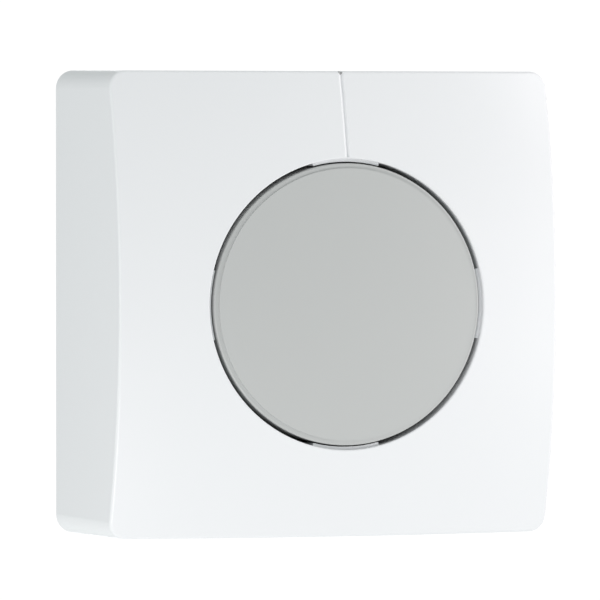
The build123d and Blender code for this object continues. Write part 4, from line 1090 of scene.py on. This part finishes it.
@dataclass
class Resistors:
    """Resistors that lie on the power board: a lacquered body, four bands and two bent leads each."""

    places_mm: tuple[Pair, ...] = ((-7.0, 0.4), (7.0, 0.4), (3.2, 12.6), (3.2, 16.0), (3.2, 19.4))
    axis_rise_mm: float = 1.4
    half_length_mm: float = 2.4
    waist_mm: float = 0.98
    bulge_mm: float = 0.17
    bulge_place: float = 0.74
    bulge_width: float = 0.16
    end_power: int = 14
    bands_mm: tuple[Pair, ...] = ((-1.05, 1.005), (-0.35, 1.005), (0.35, 1.005), (1.72, 1.15))
    band_half_mm: float = 0.15
    band_rise_mm: float = 0.02
    band_sunk_mm: float = 0.06
    lead_radius_mm: float = 0.25
    lead_start_mm: float = 2.2
    bend_radius_mm: float = 0.5
    lead_drop_mm: float = 1.38
    sides: int = 24

    def laid(self, profile: np.ndarray) -> Surface:
        """A turned profile whose axis lies along X."""
        return Surface.turned(profile, self.sides).sideways()

    def body(self) -> Surface:
        """One body: a waist with a bell-shaped swelling near each end, rounded off by a high power.

        Returns:
            The surface.
        """
        along = np.linspace(-1, 1, 29)
        off = (np.abs(along) - self.bulge_place) / self.bulge_width
        radius = self.waist_mm + self.bulge_mm * np.exp(-off ** 2)
        radius *= np.sqrt(np.clip(1 - np.abs(along) ** self.end_power, 0.02, 1))
        return self.laid(np.stack([radius, along * self.half_length_mm], -1))

    def bands(self) -> Surface:
        """One resistor's bands: low rings with a cut edge, each at its place and radius.

        Returns:
            The surface.
        """
        half, rise, sunk = self.band_half_mm, self.band_rise_mm, self.band_sunk_mm
        ring = np.array([(0.0, -half), (rise, rise - half), (rise, half - rise), (0.0, half), (-sunk, 0.0),
                         (0.0, -half)])
        return Surface.together([self.laid(ring + (radius, shift)) for shift, radius in self.bands_mm])

    def leads(self) -> Surface:
        """One resistor's leads: out along the axis, round a quarter circle and down to the board.

        Returns:
            The surface.
        """
        bend = np.linspace(0, np.pi / 2, 9)
        start, radius = self.half_length_mm, self.bend_radius_mm
        reach = np.concatenate([[self.lead_start_mm, start], start + radius * np.sin(bend), [start + radius]])
        drop = np.concatenate([[0.0, 0.0], radius * (1 - np.cos(bend)), [self.lead_drop_mm]])
        sides = [np.stack([side * reach, drop, 0 * reach], -1) for side in (-1, 1)]
        return Surface.together([Surface.tube(path, self.lead_radius_mm, (0.0, 0.0, 1.0)) for path in sides])

    def build(self, lacquer: Coat, ink: Coat, tin: Coat) -> None:
        """Makes all bodies, all bands and all leads.

        Args:
            lacquer: The bodies' coat.
            ink: The bands' coat.
            tin: The leads' coat.
        """
        places = [(x, AT.power_front + self.axis_rise_mm, z) for x, z in self.places_mm]
        rows = (("resistor_bodies", self.body(), lacquer), ("resistor_bands", self.bands(), ink),
                ("resistor_leads", self.leads(), tin))
        for name, part, coat in rows:
            part.repeated(places).piece(name, coat, Body.BASE, ROUND_SHARP_DEG)


@dataclass
class BoardPrint:
    """White outlines printed on the power board round its parts, and the pads of its test points."""

    rise_mm: float = 0.04
    sunk_mm: float = 0.005
    line_mm: float = 0.2
    frames_mm: tuple[tuple[float, float, float, float], ...] = (
        (-25.78, 15.8, 29.8, 13.6), (14.23, 15.8, 9.7, 7.7), (-9.98, 34.08, 19.2, 10.2),
        (-27.08, 34.08, 14.2, 13.2), (28.58, 34.08, 11.2, 5.2), (24.28, 15.8, 9.6, 9.6),
        (-7.0, 0.4, 7.4, 3.0), (7.0, 0.4, 7.4, 3.0))
    rings_mm: tuple[Place, ...] = ((35.08, 15.8, 5.5), (-6.88, 15.8, 3.5), (17.98, 34.08, 4.6))
    ring_sides: int = 48
    pads_x_mm: tuple[float, ...] = (-4.0, 0.0, 4.0, 8.0, 12.0)
    pads_z_mm: float = 24.6
    pad_radius_mm: float = 0.7
    pad_rise_mm: float = 0.16

    def section(self) -> np.ndarray:
        """Corners of the line's section: rows of the place across it and the depth."""
        half, rise = self.line_mm / 2, self.rise_mm / 2
        return np.array([(-half, -rise), (half, -rise), (half, rise), (-half, rise)])

    def frame_line(self, width: float, height: float) -> Surface:
        """A rectangle about the origin, drawn as one flat line: the section goes round the four corners.

        Args:
            width: Size along X in millimetres.
            height: Size along Z.

        Returns:
            The surface.
        """
        section = self.section()
        corners = np.array([(-1, -1), (1, -1), (1, 1), (-1, 1)])
        reach = np.array([width / 2, height / 2]) + section[None, :, :1]
        flat = corners[:, None, :] * reach
        depth = np.broadcast_to(section[None, :, 1:], flat[..., :1].shape)
        return Surface.through(np.concatenate([flat[..., :1], depth, flat[..., 1:]], -1) * MM, looped=True)

    def ring_line(self, radius: float) -> Surface:
        """A circle about the origin, drawn as one flat line."""
        section = self.section()
        return Surface.turned(np.concatenate([section, section[:1]]) + (radius, 0.0), self.ring_sides)

    def build(self, ink: Coat, tin: Coat) -> None:
        """Prints the outlines and tins the pads, whose height falls as the square of the radius.

        Args:
            ink: The outlines' coat.
            tin: The pads' coat.
        """
        level = AT.power_front + self.rise_mm / 2 - self.sunk_mm
        lines = [self.frame_line(width, height).at(x, level, z) for x, z, width, height in self.frames_mm]
        lines += [self.ring_line(radius).at(x, level, z) for x, z, radius in self.rings_mm]
        Surface.together(lines).piece("board_outlines", ink, Body.BASE)
        share = np.linspace(1.0, 0.05, 7)[:, None]
        pad = Surface.turned(np.hstack([self.pad_radius_mm * share, self.pad_rise_mm * (1 - share ** 2)]), 20)
        places = [(x, AT.power_front, self.pads_z_mm) for x in self.pads_x_mm]
        pad.repeated(places).piece("test_pads", tin, Body.BASE, ROUND_SHARP_DEG)


@dataclass
class ControllerLegs:
    """Bent legs on the four sides of the controller chip."""

    centre_mm: Pair = (-14.0, -8.0)
    chip_half_mm: float = 3.5
    tucked_mm: float = 0.05
    reach_mm: float = 1.15
    start_rise_mm: float = 0.62
    fall_mm: float = 0.54
    fall_from: float = 0.25
    fall_share: float = 0.4
    leg_width_mm: float = 0.3
    leg_thickness_mm: float = 0.15
    pitch_mm: float = 0.8
    legs_a_side: int = 7

    def leg(self) -> Surface:
        """One leg: a flat strip whose middle line falls to the board along a smooth step, u^2 (3 - 2 u).

        Returns:
            The surface, with the chip's middle at the origin.
        """
        along = np.linspace(0, 1, 11)
        fall = np.clip((along - self.fall_from) / self.fall_share, 0, 1)
        out = self.chip_half_mm - self.tucked_mm + self.reach_mm * along
        rise = self.start_rise_mm - self.fall_mm * fall ** 2 * (3 - 2 * fall)
        half, thin = self.leg_width_mm / 2, self.leg_thickness_mm / 2
        corners = np.array([(-half, -thin), (half, -thin), (half, thin), (-half, thin)])
        rings = np.zeros((len(along), 4, 3))
        rings[..., 0] = out[:, None]
        rings[..., 1] = -(rise[:, None] + corners[None, :, 1])
        rings[..., 2] = corners[None, :, 0]
        return Surface.through(rings * MM)

    def build(self, tin: Coat) -> None:
        """Makes all legs.

        Args:
            tin: Their coat.
        """
        row = (np.arange(self.legs_a_side) - (self.legs_a_side - 1) / 2) * self.pitch_mm
        side = self.leg().repeated(np.stack([0 * row, 0 * row, row], -1))
        legs = [side.at(self.centre_mm[0], AT.logic_front, self.centre_mm[1], math.radians(turn))
                for turn in (0, 90, 180, 270)]
        Surface.together(legs).piece("controller_legs", tin, Body.SENSOR_UNIT)


@dataclass
class BaseRelief:
    """Fine moulded relief of the wall base's rear: ejector rings, and ribs on the rear grommet."""

    pocket_depth_mm: float = 0.8
    ring_radius_mm: float = 2.6
    ring_half_mm: float = 0.16
    ring_rise_mm: float = 0.12
    upper_rings_mm: tuple[tuple[float, ...], Pair] = ((-28.0, -10.0, 10.0, 28.0), (18.0, 34.0))
    lower_rings_mm: tuple[tuple[float, ...], Pair] = ((-28.0, 28.0), (-34.0, -18.0))
    grommet_z_mm: float = -28.78
    grommet_rear_mm: float = 0.2
    rib_radii_mm: tuple[float, ...] = (6.3, 7.6, 8.9)
    rib_half_mm: float = 0.28
    rib_rise_mm: float = 0.14
    sunk_mm: float = 0.05

    def ridge(self, radius: float, half: float, level: float, rise: float) -> np.ndarray:
        """Closed profile of a low ridge on a rear face: half a sine wave that stands towards the wall.

        Args:
            radius: Radius of its middle line.
            half: Half its width.
            level: Depth of the face that it stands on.
            rise: How far it stands out.

        Returns:
            Rows of radius and depth in millimetres.
        """
        wave = np.linspace(-1, 1, 9)
        bow = np.stack([radius + half * wave, level - rise * np.cos(wave * np.pi / 2)], -1)
        root = level + self.sunk_mm
        return np.concatenate([bow, [[radius + half, root], [radius - half, root]], bow[:1]])

    def build(self, plastic: Coat, rubber: Coat) -> None:
        """Makes the rings and the ribs.

        Args:
            plastic: The base's plastic.
            rubber: The grommet's rubber.
        """
        profile = self.ridge(self.ring_radius_mm, self.ring_half_mm, self.pocket_depth_mm, self.ring_rise_mm)
        places = [(x, 0.0, z) for row, heights in (self.upper_rings_mm, self.lower_rings_mm)
                  for x in row for z in heights]
        rings = Surface.turned(profile, 40).repeated(places)
        rings.piece("base_ejector_rings", plastic, Body.BASE, ROUND_SHARP_DEG)
        ribs = Surface.together([
            Surface.turned(self.ridge(radius, self.rib_half_mm, self.grommet_rear_mm, self.rib_rise_mm), 64)
            for radius in self.rib_radii_mm])
        ribs.at(0.0, 0.0, self.grommet_z_mm).piece("rear_grommet_ribs", rubber, Body.BASE, ROUND_SHARP_DEG)


WHITE_LIGHT = (1.0, 1.0, 1.0)
WARM_LIGHT = (1.0, 0.94, 0.945)
COOL_LIGHT = (0.959, 1.0, 0.993)


@dataclass(frozen=True)
class Lamp:
    """One soft square lamp: the direction it stands in, its power in watts, distance, side and colour."""

    name: str
    towards: Place
    power: float
    colour: Colour = WHITE_LIGHT
    distance: float = 1.4
    side: float = 0.6

    def light(self) -> None:
        """Makes the lamp, which looks at the object and isn't seen by the camera."""
        data = bpy.data.lights.new(self.name, "AREA")
        data.shape, data.size, data.energy, data.color = "SQUARE", self.side, self.power, self.colour
        soft = bpy.data.objects.new(self.name, data)
        way = Vector(self.towards).normalized()
        soft.location = way * self.distance
        soft.rotation_mode = "QUATERNION"
        soft.rotation_quaternion = (-way).to_track_quat("-Z", "Y")
        soft.visible_camera = False
        bpy.context.scene.collection.objects.link(soft)


LAMPS = (
    Lamp("lamp_right", (1.0, -0.3, 0.0), 5.3, WARM_LIGHT),
    Lamp("lamp_high_right", (0.85, -0.3, 0.5), 4.95, WARM_LIGHT),
    Lamp("lamp_right_front", (0.75, -0.66, 0.0), 1.08, WARM_LIGHT),
    Lamp("lamp_left", (-1.0, -0.15, 0.0), 1.3, COOL_LIGHT, side=0.22),
    Lamp("lamp_top", (0.0, -0.3, 1.0), 1.60, COOL_LIGHT),
    Lamp("lamp_above", (-0.3, 0.1, 1.0), 1.0),
    Lamp("lamp_low_left", (-0.30, -0.35, -0.22), 0.80, WARM_LIGHT, distance=0.511, side=0.2),
    Lamp("lamp_back", (0.5, 1.0, 0.0), 3.0),
)


@dataclass
class Studio:
    """Plain soft studio: a pale floor, soft lamps and the photograph's camera."""

    target_mm: Place = (-1.25, -19.87, 0.379)
    yaw_deg: float = 19.789
    pitch_deg: float = 1.257
    distance_mm: float = 1518.0
    lens_mm: float = 444.34
    sensor_mm: float = 36.0
    clip: Pair = (0.1, 60.0)
    floor_drop: float = 0.3
    floor_radius: float = 3.2
    floor_middle: float = 0.02
    floor_rings: int = 4
    floor_steps: int = 96
    floor_glow: float = 0.845
    floor_dark: Colour = (0.01, 0.01, 0.01)
    floor_light: Colour = (0.014, 0.014, 0.014)
    floor_cloud_scale: float = 3.0
    sky_light: float = 0.534
    sky_seen: float = 1.05

    def camera(self) -> None:
        """Sets the camera in front, a little to the left and above, as the photograph was taken."""
        yaw, pitch = math.radians(self.yaw_deg), math.radians(self.pitch_deg)
        ahead = Vector((math.sin(yaw) * math.cos(pitch), math.cos(yaw) * math.cos(pitch), -math.sin(pitch)))
        data = bpy.data.cameras.new("photo_camera")
        data.sensor_width, data.lens = self.sensor_mm, self.lens_mm
        data.clip_start, data.clip_end = self.clip
        eye = bpy.data.objects.new("photo_camera", data)
        eye.location = (Vector(self.target_mm) - ahead * self.distance_mm) * MM
        eye.rotation_mode = "QUATERNION"
        eye.rotation_quaternion = ahead.to_track_quat("-Z", "Y")
        bpy.context.scene.collection.objects.link(eye)
        bpy.context.scene.camera = eye

    def floor(self) -> None:
        """A round pale floor below the object: rings of points (r cos t, r sin t) at one height."""
        turn = np.linspace(0, 2 * np.pi, self.floor_steps, endpoint=False)
        reach = np.linspace(self.floor_middle, 1, self.floor_rings)[:, None] * self.floor_radius
        level = -self.floor_drop + 0 * reach * turn
        sheet = Surface.through(np.stack([reach * np.cos(turn), reach * np.sin(turn), level], -1))
        mesh = bpy.data.meshes.new("studio_floor")
        mesh.from_pydata(sheet.points.tolist(), [], [face[::-1] for face in sheet.faces[:-1]])
        ground = bpy.data.objects.new("studio_floor", mesh)
        bpy.context.scene.collection.objects.link(ground)
        paint = NodeSheet("pale_floor")
        paint.set(Roughness=0.8, Specular_IOR_Level=0.0, Emission_Color=(*COOL_LIGHT, 1),
                  Emission_Strength=self.floor_glow)
        cloud = paint.noise(self.floor_cloud_scale)
        mesh.materials.append(paint.finish(paint.mix(cloud, self.floor_dark, self.floor_light)))
        paint.one_sided()

    def sky(self) -> None:
        """An even white surround, softer on the object than what the camera sees behind it."""
        world = bpy.data.worlds.new("white_surround")
        world.use_nodes = True
        nodes = NodeTree(world.node_tree)
        cast, seen = (nodes.value("ShaderNodeBackground", "Background", {"Color": colour, "Strength": bright})
                      for colour, bright in ((COOL_LIGHT, self.sky_light), (WHITE_LIGHT, self.sky_seen)))
        by_camera = nodes.value("ShaderNodeLightPath", "Is Camera Ray", {})
        blend = nodes.value("ShaderNodeMixShader", "Shader", {0: by_camera, 1: cast, 2: seen})
        nodes.link(blend, nodes.add("ShaderNodeOutputWorld").inputs["Surface"])
        bpy.context.scene.world = world

    def build(self) -> None:
        """Sets up everything that isn't part of the object."""
        bpy.context.scene.view_settings.view_transform = "Standard"
        self.camera()
        self.floor()
        self.sky()
        for lamp in LAMPS:
            lamp.light()


def dress_nodes(coats: dict[str, Coat]) -> None:
    """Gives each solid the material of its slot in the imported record, or its own variant of it.

    Args:
        coats: Coats by slot name, or by node name for the solids whose pattern has its own place.
    """
    slots = {part["node"]: part["material_slot"] for part in frame["record"]["subparts"]}
    for name, node in frame["nodes"].items():
        node.data.materials.clear()
        node.data.materials.append(coats.get(name, coats[slots[name]]).material)
        LOG.info("solid %s: %s", name, slots[name])


def main() -> None:
    """Builds the materials, dresses the solids, adds the pieces and sets up the studio."""
    logging.basicConfig(level=logging.INFO, format="%(name)s: %(message)s")
    coats = {finish.name: Coat(finish.name, finish.material()) for finish in FINISHES}
    for node, (slot, finish) in VARIANTS.items():
        coats[node] = Coat(slot, finish.material())
    dress_nodes(coats)
    ink, tin = coats["rotor_white"], coats["zinc_steel"]
    LidMarks().build(ink)
    TerminalMarks().build(coats["bobbin_white"])
    Chips().build(coats["black_plastic"], tin)
    SolderJoints().build(tin)
    ChokeWire().build(coats["copper_wire"])
    Resistors().build(coats["bobbin_white"], coats["fuse_brown"], tin)
    BoardPrint().build(ink, tin)
    ControllerLegs().build(tin)
    BaseRelief().build(coats["base_white"], coats["rubber_grey"])
    Studio().build()


if __name__ == "__main__":
    main()
